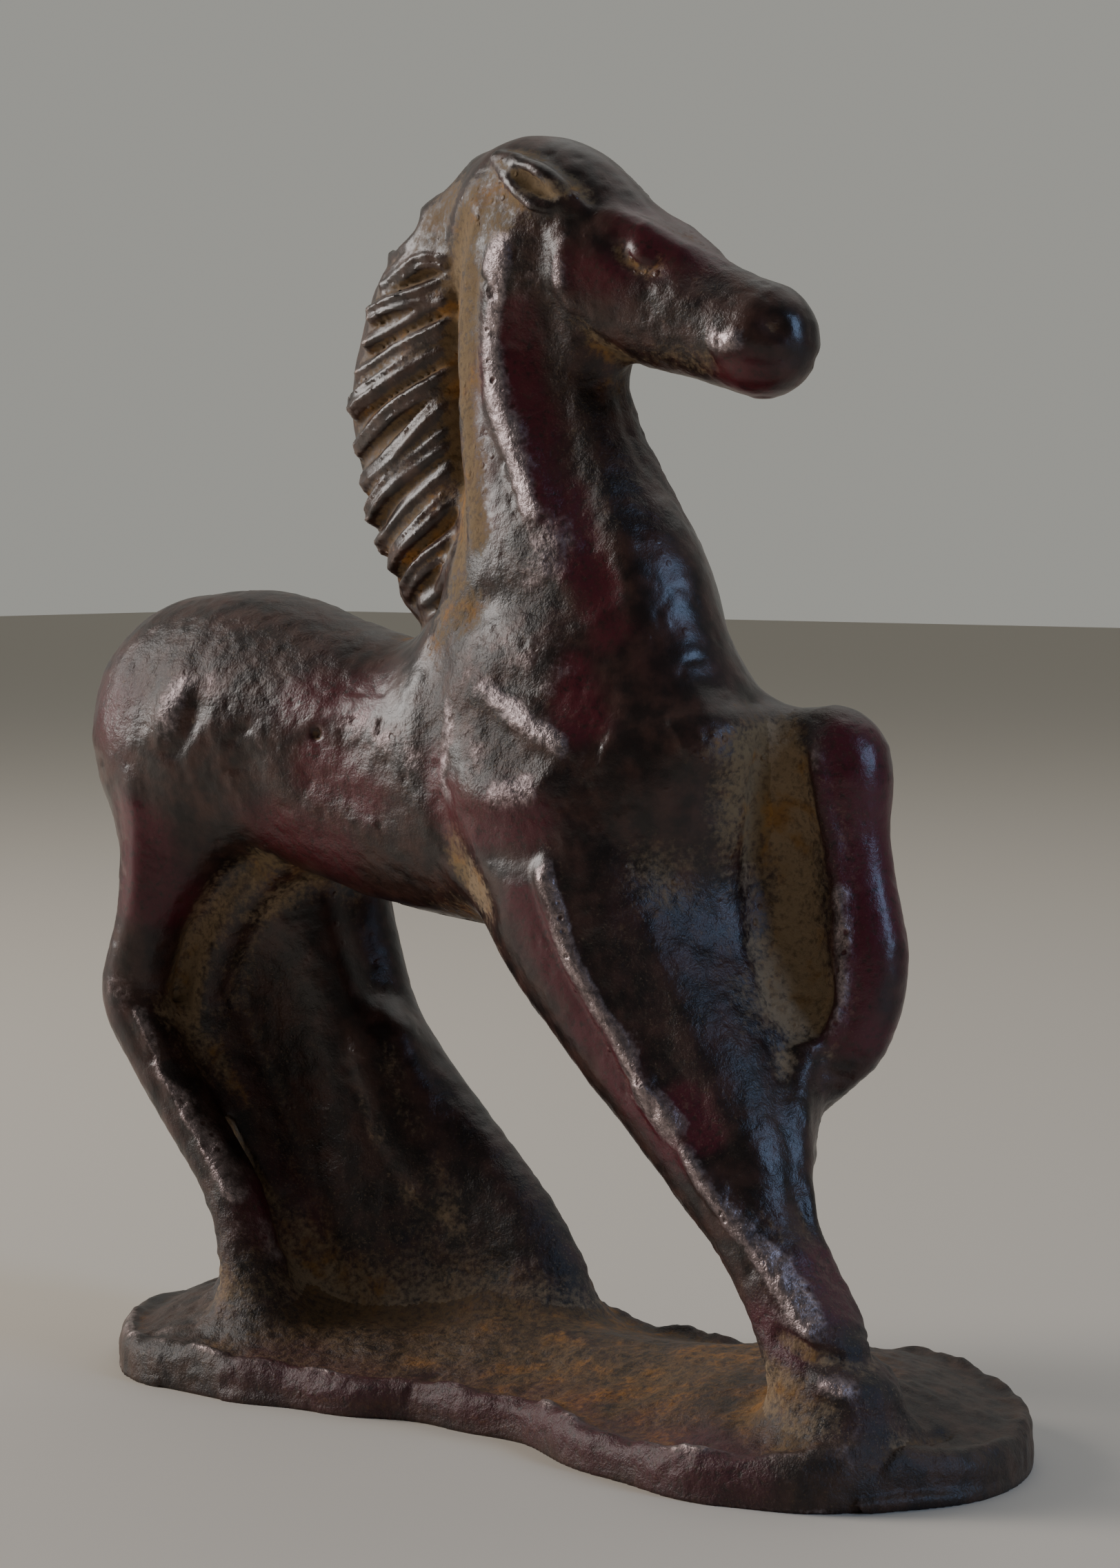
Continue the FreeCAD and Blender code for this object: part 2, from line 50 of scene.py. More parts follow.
# Each limb body: how far its two rounded ends reach past the spine, and oval sections square
# to the spine: x, y, z, half depth in the side view, half width across the horse.
LIMBS = {
    "trunk": ((14.5, 13), [
        (-58, 0, 84, 17.8, 15.8), (-49, 0, 84.2, 18.3, 16.5),
        (-36, 0, 82.3, 16.9, 15.3), (-22, 0, 79.5, 17.2, 14.2),
        (-9, 0, 79, 18.2, 14.8), (3, 0, 79, 18.8, 16),
        (13, 0, 79.5, 17.6, 15.8), (20, 0, 80.5, 15, 13.6)]),
    "neck": ((4, 4), [
        (7, 0, 88, 20, 11.5), (6.2, 0, 97, 20.4, 12.4),
        (4.6, 0, 107, 16.2, 11.4), (1.8, 0, 118, 12.8, 9.8),
        (0, 0, 130, 11.6, 8.9), (-0.3, 0, 141, 11.4, 8.4),
        (0.5, 0, 148, 9.5, 7)]),
    "head": ((7, 7.2), [
        (-2.5, 0, 149, 10.2, 7.8), (3, 0, 147, 11.2, 8.9),
        (11.4, 0, 141.8, 9.9, 8.7), (19.6, 0, 138.4, 8.2, 7.2),
        (27.8, 0, 135.4, 7.3, 6.1), (34.6, 0, 133.2, 7, 6.1)]),
    "mane": ((3, 3), [
        (-7.5, 0, 154, 4.4, 3.4), (-10.6, 0, 149.6, 5.6, 4.4),
        (-14.6, 0, 144.4, 8.6, 4.6), (-18.4, 0, 138, 10.8, 4.7), (-20.8, 0, 127, 11.8, 4.8),
        (-18.8, 0, 116, 10.8, 4.8), (-15.8, 0, 106, 8.2, 4.2),
        (-14, 0, 100.5, 4.8, 3.4)]),
    "foreleg_right": ((3, 0.6), [
        (9, -7, 78, 12, 9), (12, -8.6, 68, 12.5, 9.2),
        (21, -8.2, 55, 11.3, 8.5), (30, -7.8, 44, 9.6, 7.8),
        (37, -8.8, 35, 7.2, 6.6), (43, -9.8, 27, 5.5, 5.4),
        (47.5, -10.6, 20.5, 5.3, 5), (51.5, -11, 14.5, 6.4, 5.9),
        (54.3, -11.3, 9.5, 7.4, 6.5), (55.2, -11.4, 5, 7.4, 6.4),
        (55.4, -11.4, 1.5, 6, 5)]),
    "forearm": ((4, 4), [
        (20, 7.5, 80, 8.6, 5.6), (30, 7.3, 81.4, 8.3, 5.4),
        (41, 7.3, 81.2, 7.3, 5.1)]),
    "cannon": ((2, 3), [
        (40.4, 7.2, 84.4, 6, 4.9), (40.6, 7.4, 79, 6.1, 5),
        (41.8, 7.5, 68, 6.2, 4.8), (43.6, 7, 58.5, 6.7, 4.9),
        (42.2, 6.2, 51.6, 6.6, 5), (37, 3, 45, 6, 5.4),
        (33, -1, 39, 5, 5)]),
    "fold_web": ((2, 2), [
        (32.5, 7.4, 78, 8.5, 3.4), (33.5, 7.4, 68, 9, 3.2),
        (35, 7, 58, 8.6, 3.5), (36.5, 4.5, 50, 7.2, 4.6),
        (37, 0, 43, 6.2, 5.4), (38.5, -4, 36, 5.4, 5)]),
    "brisket": ((4, 3), [
        (14, 0, 77, 15, 10), (18.5, 0.5, 65, 13.6, 9),
        (25, 0, 54, 11, 7.6), (32, -3, 44, 8.2, 6.6),
        (37.5, -6, 36, 6, 5.6)]),
    "hind_leg_right": ((5, 0.6), [
        (-55, -7.5, 80, 12.5, 8), (-56.5, -9.6, 68, 7.6, 6.4),
        (-58.8, -11.5, 58, 4.6, 4.6), (-60.8, -12, 48.5, 4.7, 4.4),
        (-57, -12.3, 41.5, 4, 3.8), (-49, -12.5, 31.5, 3.4, 3.4),
        (-42.3, -12.5, 23.5, 3.6, 3.6), (-39.5, -12.5, 17.5, 4.2, 4.2),
        (-38, -12.5, 10, 5, 4.8), (-37.8, -12.4, 2, 5, 4.8)]),
    "hind_leg_left": ((4, 0.6), [
        (-53, 8, 78, 14, 7.5), (-50, 9, 66, 13, 7.2),
        (-46, 10, 54, 11, 6.6), (-38.5, 10.5, 42, 8.2, 6),
        (-28, 11, 32, 6.8, 5.6), (-18.5, 11, 24, 6.2, 5.4),
        (-12.5, 11, 17.5, 6.6, 5.6), (-9.5, 11, 11, 7.4, 6),
        (-8.8, 11, 6, 7.4, 6), (-9, 10.6, 1.5, 6, 5)]),
    "tail": ((4, 0.6), [
        (-53, 0.5, 73, 9, 5.5), (-50, 1.5, 62, 10.5, 5.8),
        (-47, 2.5, 50, 11.5, 5.4), (-43.5, 3, 37, 12.5, 5.6),
        (-38.5, 3, 24, 13, 6.6), (-35, 3, 9, 14, 8), (-34, 3, 2, 13, 8)]),
    "thigh_web": ((4, 0.6), [
        (-53, -2, 68, 9, 5), (-56, -2.6, 57, 7.4, 4),
        (-57.5, -3, 47, 6.4, 3.8), (-55.3, -3.2, 39.5, 6.8, 3.8),
        (-50, -3.2, 30, 7.4, 4.2), (-45, -3.2, 20, 8.4, 5.2),
        (-42.5, -3, 9, 9, 6.6), (-42, -3, 2, 8.5, 6.4)]),
    "heel_web": ((3, 0.6), [
        (-34, 6.5, 42, 6, 4.2), (-29.5, 7, 29, 7.6, 4.8),
        (-24.5, 7.5, 18, 8.6, 5.3), (-21, 8, 8, 9.4, 6.2), (-20, 8, 2, 9, 6)]),
    "ear_right": ((0.8, 0.8), [
        (12.4, -6.8, 148.8, 1, 0.8), (9.2, -7.4, 150.6, 2.2, 1.6),
        (5.5, -7.6, 152.6, 2.7, 1.8), (1.5, -7, 154.6, 2, 1.5),
        (-1.8, -6, 156.3, 0.9, 0.9)]),
}
LIMBS["ear_left"] = (LIMBS["ear_right"][0],
                     [(x, -y, z, a, b) for x, y, z, a, b in LIMBS["ear_right"][1]])

# Which casting each limb body belongs to, and how softly it runs into what is already there.
JOINS = [
    ("trunk", "trunk", 0), ("neck", "neck", 9), ("head", "head", 5),
    ("mane", "mane_crest", 2), ("foreleg_right", "foreleg_right", 6),
    ("forearm", "foreleg_left", 4), ("cannon", "foreleg_left", 3),
    ("fold_web", "foreleg_left", 1.6), ("brisket", "foreleg_left", 6),
    ("hind_leg_right", "hind_leg_right", 5), ("hind_leg_left", "hind_leg_left", 5),
    ("tail", "tail", 5), ("thigh_web", "tail", 3), ("heel_web", "tail", 4),
    ("ear_right", "head", 1.2), ("ear_left", "head", 1.2),
]
CASTINGS = ["ground_base", "hindquarters", "barrel", "forehand", "neck", "head", "mane_crest",
            "foreleg_right", "foreleg_left", "hind_leg_right", "hind_leg_left", "tail"]
LOIN_X, GIRTH_X = -30.0 + DATUM_X, -6.0 + DATUM_X
STUDS = [(54.5, -11.4), (-38.5, -12.5), (-10.5, 11.0)]
PIT_RADIUS, PIT_TOP = 4.5, 4.6


def smooth_least(a, b, k):
    """The lesser of two depth fields with the valley between them filled over a width k:
    the least value, less the square of their closeness over four k."""
    if k <= 0:
        return np.minimum(a, b)
    near = np.maximum(k - np.abs(a - b), 0) / k
    return np.minimum(a, b) - near * near * (k / 4)


def smooth_most(a, b, k):
    """The greater of two depth fields, softened over a width k."""
    return -smooth_least(-a, -b, k)


def flowing(rows, step=1.2):
    """Sections closely spaced along a run: each number follows a cubic through its given
    values, with the slope at each taken from its neighbours."""
    rows = np.array(rows, float)
    gap = np.maximum(np.linalg.norm(np.diff(rows[:, :3], axis=0), axis=1), 0.5)
    at = np.concatenate([[0], np.cumsum(gap)])
    slope = np.gradient(rows, at, axis=0)
    where = np.linspace(0, at[-1], max(int(at[-1] / step), 4) + 1)
    k = np.clip(np.searchsorted(at, where, side="right") - 1, 0, len(gap) - 1)
    t = ((where - at[k]) / gap[k])[:, None]
    g = gap[k][:, None]
    return ((1 + 2 * t) * (1 - t) ** 2 * rows[k] + t * (1 - t) ** 2 * g * slope[k]
            + t * t * (3 - 2 * t) * rows[k + 1] + t * t * (t - 1) * g * slope[k + 1])


def span(lo, hi):
    """Index slices of the block that covers a box."""
    first = np.clip(np.floor((np.array(lo) - LOW) / GRAIN), 0, np.array(SHAPE) - 1).astype(int)
    last = np.clip(np.ceil((np.array(hi) - LOW) / GRAIN) + 1, 1, SHAPE).astype(int)
    return tuple(slice(a, b) for a, b in zip(first, last))


def coords(box):
    """Open grids of x, y and z over a block."""
    return (AXES[0][box[0]][:, None, None], AXES[1][box[1]][None, :, None],
            AXES[2][box[2]][None, None, :])


def oval_depth(*pairs):
    """Depth below an oval skin from pairs of offset and half size, one along each of its axes:
    k1 (k1 - 1) / k2, with k1 the length of the offsets over the half sizes and k2 the length
    of the offsets over the squares of the half sizes."""
    k1 = np.sqrt(sum((offset / half) ** 2 for offset, half in pairs))
    k2 = np.sqrt(sum((offset / half ** 2) ** 2 for offset, half in pairs))
    return k1 * (k1 - 1) / np.maximum(k2, 1e-4)


def limb(rows, caps, pad=FAR):
    """Depth below the skin of a limb of oval sections, over its own block.
    In the side view each point takes the stretch of spine that it is deepest in, which gives
    its offset u from the spine, the half depth a and half width b there, and how far it lies
    past the end, e.  Its depth is that below an oval of half sizes a, b and c, with v the
    offset across the horse and c the length of the rounded end."""
    run = flowing(rows)
    run[:, 0] += DATUM_X
    reach = np.maximum(run[:, 3], run[:, 4]).max() + max(caps) + pad
    box = span(run[:, :3].min(0) - reach, run[:, :3].max(0) + reach)
    x, y, z = coords(box)
    gx, gz = np.broadcast_arrays(x[:, 0, :], z[:, 0, :])
    best = np.full(gx.shape, 1e9, np.float32)
    keep = np.zeros((6,) + gx.shape, np.float32)
    last = len(run) - 2
    for i in range(last + 1):
        tx, tz = run[i + 1, 0] - run[i, 0], run[i + 1, 2] - run[i, 2]
        long = math.hypot(tx, tz)
        tx, tz = tx / long, tz / long
        t = np.clip(((gx - run[i, 0]) * tx + (gz - run[i, 2]) * tz) / long, 0, 1)
        cx, cy, cz, a, b = (run[i, j] + t * (run[i + 1, j] - run[i, j]) for j in range(5))
        u = (gx - cx) * tz - (gz - cz) * tx
        e = (gx - cx) * tx + (gz - cz) * tz
        cap = np.where(e < 0, caps[0] if i == 0 else a, caps[1] if i == last else a)
        depth = oval_depth((u, a), (e, cap))
        closer = depth < best
        best = np.where(closer, depth, best)
        for slot, value in enumerate((u, cy, a, b, e, cap)):
            keep[slot] = np.where(closer, value, keep[slot])
    u, cy, a, b, e, c = (layer[:, None, :] for layer in keep)
    depth = oval_depth((u, a), (y - cy, b), (e, c))
    return box, np.clip(depth, DEEPEST, pad).astype(np.float32)


def egg(centre, radii, yaw=0.0, pitch=0.0, pad=5.0):
    """Depth below the skin of an ellipsoid turned by yaw about the upright axis and then
    pitched nose-down."""
    centre = np.array(centre, float) + (DATUM_X, 0, 0)
    reach = max(radii) + pad
    box = span(centre - reach, centre + reach)
    x, y, z = coords(box)
    cy, sy = math.cos(math.radians(yaw)), math.sin(math.radians(yaw))
    cp, sp = math.cos(math.radians(pitch)), math.sin(math.radians(pitch))
    dx, dy, dz = x - centre[0], y - centre[1], z - centre[2]
    fore = dx * cy + dy * sy
    p = fore * cp - dz * sp
    q = -dx * sy + dy * cy
    r = fore * sp + dz * cp
    depth = oval_depth((p, radii[0]), (q, radii[1]), (r, radii[2]))
    return box, np.clip(depth, DEEPEST, pad).astype(np.float32)


def cord_field(points, pad=4.0):
    """Distance to a bent line less a radius that changes along it: for each straight stretch
    the nearest point is found by projection and the radius is mixed in proportion.
    A point is x, y, z, radius."""
    pts = np.array(points, float) + (DATUM_X, 0, 0, 0)
    reach = pts[:, 3].max() + pad
    box = span(pts[:, :3].min(0) - reach, pts[:, :3].max(0) + reach)
    x, y, z = coords(box)
    field = np.full(np.broadcast_shapes(x.shape, y.shape, z.shape), pad, np.float32)
    for p, q in zip(pts[:-1], pts[1:]):
        d = q[:3] - p[:3]
        t = ((x - p[0]) * d[0] + (y - p[1]) * d[1] + (z - p[2]) * d[2]) / (d @ d)
        t = np.clip(t, 0, 1)
        away = np.sqrt((x - p[0] - t * d[0]) ** 2 + (y - p[1] - t * d[1]) ** 2
                       + (z - p[2] - t * d[2]) ** 2)
        field = np.minimum(field, away - (p[3] + t * (q[3] - p[3])))
    return box, field.astype(np.float32)


class Clay:
    """The whole figure as one depth field, with each casting's own depth kept beside it."""

    def __init__(self):
        self.field = np.full(SHAPE, FAR, np.float32)
        self.bodies = []

    def add(self, piece, k, casting=None):
        box, depth = piece
        self.field[box] = smooth_least(self.field[box], depth, k)
        if casting is not None:
            self.bodies.append((CASTINGS.index(casting), box, depth))

    def carve(self, piece, k):
        box, depth = piece
        self.field[box] = smooth_most(self.field[box], -depth, k)


# Swellings of the ground, mostly under the hooves: x, y, radius, height.
MOUNDS = [(-38, -11, 10, 3.2), (-10, 11, 11, 3.0), (53, -10, 11, 3.0), (38, 12, 16, 3.0),
          (-52, 6, 15, 1.5)]


def ground():
    """Depth below the skin of the ground, over the whole plan: the greater of the distance
    outside a wavy outline (ovals run together) and the height above a domed, dished top."""
    box = span((LOW[0], LOW[1], LOW[2]), (HIGH[0], HIGH[1], 30))
    x, y, z = coords(box)
    px, py = np.broadcast_arrays(x[:, :, 0] - DATUM_X, y[:, :, 0])

    def oval(cx, cy, a, b):
        return oval_depth((px - cx, a), (py - cy, b))

    edge = oval(-36.0, -0.5, 32.5, 25.0)
    edge = smooth_least(edge, oval(2.0, 2.0, 40.0, 20.5), 9.0)
    edge = smooth_least(edge, oval(40.5, -0.5, 29.5, 26.0), 9.0)
    edge = edge + 0.6 * np.sin(px / 5.3 + 1.0) + 0.4 * np.sin(px / 2.9 + py / 7.0)
    inward = np.clip(-edge, 0, None)

    bead = 0.9 + 0.35 * np.sin(px / 3.1 + py / 4.3) + 0.25 * np.sin(px / 1.3 - py / 2.1)
    rim_height, dome_rise = 4.6, 3.9
    top = rim_height + dome_rise * (1 - np.exp(-(inward / 12.0) ** 2))
    top = top + bead * np.exp(-((inward - 1.5) / 1.3) ** 2)
    top = top + 1.5 * np.clip(py / 20, -0.2, 1)
    for cx, cy, wide, tall in MOUNDS:
        top = top + tall * np.exp(-((px - cx) ** 2 + (py - cy) ** 2) / wide ** 2)
    top = top + 0.35 * np.sin(px / 4.1) * np.sin(py / 3.7 + px / 9)
    side = edge[:, :, None] + np.clip(0.12 * (z - 2.5), 0, None)
    return box, smooth_most(side, 0.92 * (z - top[:, :, None]), 1.6).astype(np.float32)


def shape_horse():
    """Runs the limb bodies together in order, then presses in and builds up the modelling."""
    clay = Clay()
    for name, casting, k in JOINS:
        caps, rows = LIMBS[name]
        clay.add(limb(rows, caps), k, "barrel" if casting == "trunk" else casting)
    clay.add(ground(), 5.0, "ground_base")
    model_details(clay)
    z = AXES[2][None, None, :]
    clay.field = np.maximum(clay.field, -z)
    for sx, sy in STUDS:
        clay.carve(cylinder(sx, sy, PIT_RADIUS, PIT_TOP), 0.0)
    return clay


def cylinder(cx, cy, radius, top):
    """Depth below the skin of an upright round pit standing on the underside."""
    cx = cx + DATUM_X
    box = span((cx - radius - 4, cy - radius - 4, LOW[2]), (cx + radius + 4, cy + radius + 4, top + 4))
    x, y, z = coords(box)
    return box, np.maximum(np.hypot(x - cx, y - cy) - radius, z - top).astype(np.float32)


NEAR, OFF = (-40.0, -0.6), (0.6, 40.0)

# Bands drawn in the side view and worked on both sides of the horse:
# height (negative is pressed in), half width, and the x, z points of the line.
BOTH_SIDES = [
    (0.85, 3.3, [(2.6, 147.5), (0.2, 140), (-0.3, 134.3), (0.3, 128.5), (2.9, 122.7),
                 (5.5, 117.9), (9.4, 111.5)]),  # crest of the neck
    (-0.8, 3.4, [(-5, 151), (-8, 144), (-10, 137), (-10.5, 128), (-9.5, 120), (-7, 112),
                 (-5.5, 105)]),  # along the mane
    (-0.8, 4, [(6.4, 141), (6.2, 132), (8, 124), (11.8, 116), (16, 108), (19, 101)]),
    (0.5, 3.2, [(11, 128), (14.5, 118), (19, 108), (24, 98)]),
    (-0.8, 3.4, [(7, 149.5), (6.8, 143.5), (8, 138), (11, 134)]),  # behind the jowl
    (0.45, 2.2, [(11.7, 146.6), (10.9, 143.8), (10.5, 141), (11.6, 136.8)]),  # rim of the jowl
    (-0.6, 2.8, [(10.5, 137), (13.2, 132.8), (17.5, 129.6)]),  # throat
    (0.4, 2.8, [(16.5, 143.6), (22.5, 140.6), (29.5, 136.6)]),  # cheek bone
    (-0.45, 3, [(26.5, 142), (31, 139.4), (35.5, 137)]),
    (-0.32, 1.2, [(41.2, 130.9), (38.4, 130.8), (35.4, 131.5)]),  # mouth
    (0.7, 2.2, [(30.9, 131.4), (34, 132.6), (37.2, 132.8)]),  # corner of the lip
    (-0.75, 4.4, [(-9, 98), (-6.4, 91), (-5.2, 85), (-4.4, 79), (-2.8, 74.6), (-0.8, 71),
                  (2.4, 67), (6.4, 62)]),  # girth crease
    (0.75, 5.5, [(-1, 89), (2.5, 94.5), (10, 95.5), (15.5, 91)]),  # shoulder blade
    (0.75, 2.9, [(0.8, 92.2), (8, 89.4), (12.1, 87.7), (19.5, 83.6)]),
    (-0.6, 3.6, [(3, 87), (9, 84), (15, 80.8)]),
    (0.75, 3.8, [(0, 80.5), (7, 78.4), (13, 79.4), (18, 82)]),
    (-0.5, 3.4, [(-5, 99), (3, 102), (10, 102.5), (17, 99.5)]),
    (-0.5, 4, [(4, 73.5), (11, 71.5), (18, 73.5)]),
    (0.9, 4.6, [(-48, 93.5), (-49.4, 87.5), (-50, 81.5)]),  # point of the hip
    (-0.6, 3, [(-44.2, 89.6), (-47, 84.8), (-50.4, 80.4)]),
    (-0.5, 4.6, [(-38.4, 87), (-36.6, 80), (-35, 74), (-36, 68)]),  # flank
    (0.4, 4.4, [(-32, 87), (-19, 86.6), (-7, 83)]),  # ribs
    (-0.4, 3, [(-30, 80), (-20, 77), (-10, 75)]),
    (0.5, 3.4, [(-57.5, 80), (-56.5, 68), (-56.8, 58)]),  # gaskin
]

# The same on one stretch across the horse only: that stretch comes first.
ONE_SIDE = [
    (NEAR, 0.9, 2.3, [(14.6, 72), (18.4, 61.7), (21.5, 56.3), (25.8, 50), (30.5, 43.4)]),
    (NEAR, 1, 3, [(27.6, 46.2), (31.2, 42.6), (34.4, 39.2)]),  # near knee
    (NEAR, 0.75, 2.1, [(33.6, 39.8), (41.5, 31.1), (46.2, 27), (50, 22.9), (55.4, 17)]),
    (NEAR, -0.6, 3.2, [(23.4, 64.5), (30, 53), (36, 43), (42, 35), (48.5, 26.6)]),
    (NEAR, -0.8, 1.7, [(48, 18.6), (54, 16.6), (60.8, 14.4)]),  # coronet
    (NEAR, 0.8, 2.6, [(54.4, 14.2), (58.4, 13.2), (61.4, 10.4)]),
    (NEAR, -0.6, 1.3, [(62.4, 11), (63.2, 6.5), (62.8, 3.4)]),
    (NEAR, 0.55, 1.8, [(-57.6, 47.8), (-51.1, 37.8), (-45.4, 31.1), (-38.6, 23)]),
    (NEAR, -0.45, 2.2, [(-38, 21.6), (-35, 15.6)]),
    ((-2, 6), -0.9, 3.8, [(37.2, 85), (38.4, 80.4), (39.2, 71), (40.4, 61.7), (41.8, 51)]),
    ((-2, 5.4), 0.7, 1.7, [(41.4, 85), (42.6, 76), (44.4, 66.6), (45.4, 60.1), (45, 54.5),
                           (43.2, 49.6), (39.8, 48.2)]),
    ((-12, 2.5), -1.1, 8, [(-46, 58), (-44, 47), (-40, 36), (-35, 24)]),
    ((-3, 9), 0.7, 3, [(-32.8, 45), (-28.6, 36), (-25, 29.4), (-19.4, 21.6)]),
]

# Locks of the mane in the side view: x, z of the root, x, z of the tip, and how far the lock
# bows upward on the way.
LOCKS = [
    (-12.8, 144.8, -23.2, 142, 1), (-11.8, 142, -25.4, 138.4, -0.6),
    (-12.4, 139.2, -25.8, 134.4, 0.4), (-11.4, 136.8, -27.6, 130.8, -0.4),
    (-12.2, 133.4, -28.8, 126.2, 0.7), (-12.2, 130.2, -28.8, 121.4, 0),
    (-12.4, 126.2, -27.8, 116.6, -0.7), (-11.8, 122.4, -26.6, 112.4, 0.6),
    (-11.6, 118.2, -24.6, 109, -0.4), (-10.4, 115, -22.6, 105.8, 0.4),
    (-9.8, 110.8, -20, 103.2, -0.4), (-9.8, 107.4, -17, 101, 0),
]


def draw(clay, reach, height, half, line):
    """Raises or presses in a band drawn in the side view: the depth changes by the height
    times (1 - (d / half)^2)^2 at a distance d from the line, easing away over the last 1.5
    half widths at each end, on one stretch across the horse with soft limits."""
    run = flowing([(x + DATUM_X, 0, z) for x, z in line], 0.8)
    x_lo, z_lo = run[:, 0].min() - half, run[:, 2].min() - half
    x_hi, z_hi = run[:, 0].max() + half, run[:, 2].max() + half
    box = span((x_lo, reach[0] - 1.5, z_lo), (x_hi, reach[1] + 1.5, z_hi))
    x, y, z = coords(box)
    gx, gz = np.broadcast_arrays(x[:, 0, :], z[:, 0, :])
    away = np.full(gx.shape, 1e9)
    along = np.zeros(gx.shape)
    gone = 0.0
    for p, q in zip(run[:-1], run[1:]):
        tx, tz = q[0] - p[0], q[2] - p[2]
        long = math.hypot(tx, tz)
        t = np.clip(((gx - p[0]) * tx + (gz - p[2]) * tz) / long ** 2, 0, 1)
        d = np.hypot(gx - p[0] - t * tx, gz - p[2] - t * tz)
        along = np.where(d < away, gone + t * long, along)
        away = np.minimum(away, d)
        gone += long
    ends = np.clip(np.minimum(along, gone - along) / (1.5 * half), 0, 1)
    band = np.clip(1 - (away / half) ** 2, 0, None) ** 2 * ends * (2 - ends)
    side = np.clip((y - reach[0]) / 1.5 + 0.5, 0, 1) * np.clip((reach[1] - y) / 1.5 + 0.5, 0, 1)
    clay.field[box] -= (height * band[:, None, :] * side).astype(np.float32)


def comb_mane(clay):
    """Locks on the mane: each is a crest bowed between its root and its tip, and the depth
    falls by 1.8 h (1 - (d / w)^4) - 1.1 at a distance d from it, where h is the lock's own
    thickness, with a few strands in it, and w half its width, thinner at the tip; the greatest
    of the locks holds.  The far side has the same locks set lower."""
    box = span((-34.0, -9.0, 99.0), (-7.0, 9.0, 149.0))
    x, y, z = coords(box)
    gx, gz = np.broadcast_arrays(x[:, 0, :] - DATUM_X, z[:, 0, :])

    def combed(drop):
        relief = np.zeros(gx.shape)
        for rx, rz, tx, tz, bow in LOCKS:
            t = np.clip(((gx - rx) * (tx - rx) + (gz + drop - rz) * (tz - rz))
                        / ((tx - rx) ** 2 + (tz - rz) ** 2), 0, 1)
            cx = rx + t * (tx - rx)
            cz = rz + t * (tz - rz) + bow * 4 * t * (1 - t) + 0.3 * np.sin(6 * t + rz)
            d = np.hypot(gx - cx, gz + drop - cz)
            thin = 2.05 + 0.3 * np.sin(5 * rz) - 0.35 * t
            tall = 0.8 + 0.2 * np.sin(3 * rz + 4 * t)
            tall = tall * (1 + 0.14 * np.cos(4.0 * (gz + drop - cz) + rz))
            relief = np.maximum(relief, tall * np.clip(1 - (d / thin) ** 4, 0, 1))
        return relief

    rooted = np.clip((-10.2 - gx) / 2.5, 0, 1) * np.clip((146.5 - gz) / 2, 0, 1)
    rooted = rooted * np.clip((gz - 99.5 - 0.55 * np.clip(-18 - gx, 0, None)) / 2, 0, 1)
    far = np.clip(y / 2 + 0.5, 0, 1)
    relief = combed(0)[:, None, :] * (1 - far) + combed(1.3)[:, None, :] * far
    clay.field[box] -= ((1.8 * relief - 1.1) * rooted[:, None, :]).astype(np.float32)


def model_details(clay):
    """The modelling that is worked into the run-together bodies, from the head back."""
    comb_mane(clay)
    clay.carve(egg((-21.5, 0, 148.4), (3.4, 12.0, 1.5), 0, -28), 1.6)
    for height, half, line in BOTH_SIDES:
        draw(clay, NEAR, height, half, line)
        draw(clay, OFF, height, half, line)
    for side in (-1, 1):
        clay.carve(egg((6.2, side * 9.7, 152.7), (5.2, 1.9, 1.25), 0, 27), 0.5)
        rims = [[(-2.4, 6.2, 156.4, 0.5), (0.8, 8.1, 154.0, 0.6), (3.7, 9.2, 151.8, 0.65),
                 (6.3, 9.3, 150.1, 0.6), (9.0, 8.8, 149.2, 0.3)],
                [(-2.0, 5.9, 156.9, 0.45), (2.2, 7.2, 156.1, 0.5), (6.0, 8.2, 154.3, 0.5),
                 (9.2, 8.3, 151.9, 0.45), (11.6, 7.4, 150.0, 0.3)]]
        for rim in rims:
            clay.add(cord_field([(x, side * y, z, r) for x, y, z, r in rim]), 0.5)
        clay.carve(egg((20.8, side * 7.3, 143.4), (4.0, 1.9, 2.1), 0, 27), 2.4)
        clay.add(egg((20.6, side * 5.3, 143.5), (1.7, 1.1, 0.9), 0, 27), 1.2)
        brow = [(15.4, 4.6, 147.4, 1.3), (19.8, 4.1, 146.0, 1.4), (24.0, 3.0, 143.4, 1.0)]
        clay.add(cord_field([(x, side * y, z, r) for x, y, z, r in brow]), 3.0)
        clay.carve(egg((39.6, side * 4.9, 134.6), (1.4, 1.0, 0.7), -side * 35, 20), 1.4)
    clay.add(egg((27.0, -3.6, 84.6), (7.6, 6.4, 6.0), -25, 0), 3.0)
    clay.carve(cord_field([(34.8, 0.0, 85.4, 0.6), (35.0, -0.4, 80, 1.5), (34.2, 0.4, 70.6, 1.9),
                           (35.4, -0.6, 61.3, 1.7), (38.8, -1.6, 53.6, 1.1),
                           (42.0, -1.2, 48.4, 0.5)]), 1.2)
    clay.add(cord_field([(41.6, -0.6, 47.6, 1.2), (42.6, -4.2, 42, 1.7), (44.2, -5.6, 35.5, 1.5),
                         (48.0, -6.6, 27, 1.2), (51.6, -7.0, 20, 1.0)]), 2.2)
    clay.add(cord_field([(-41.5, -4.0, 66.5, 2.0), (-48.2, -4.6, 60.4, 1.9),
                         (-52.4, -5.4, 52.8, 1.7), (-54.0, -6.0, 46.5, 1.6),
                         (-53.8, -6.4, 41.0, 1.4), (-50.0, -6.6, 34.0, 1.0)]), 2.6)
    for reach, height, half, line in ONE_SIDE:
        draw(clay, reach, height, half, line)
    clay.carve(egg((-25.7, -14.6, 84.8), (0.75, 1.4, 0.9)), 0.5)


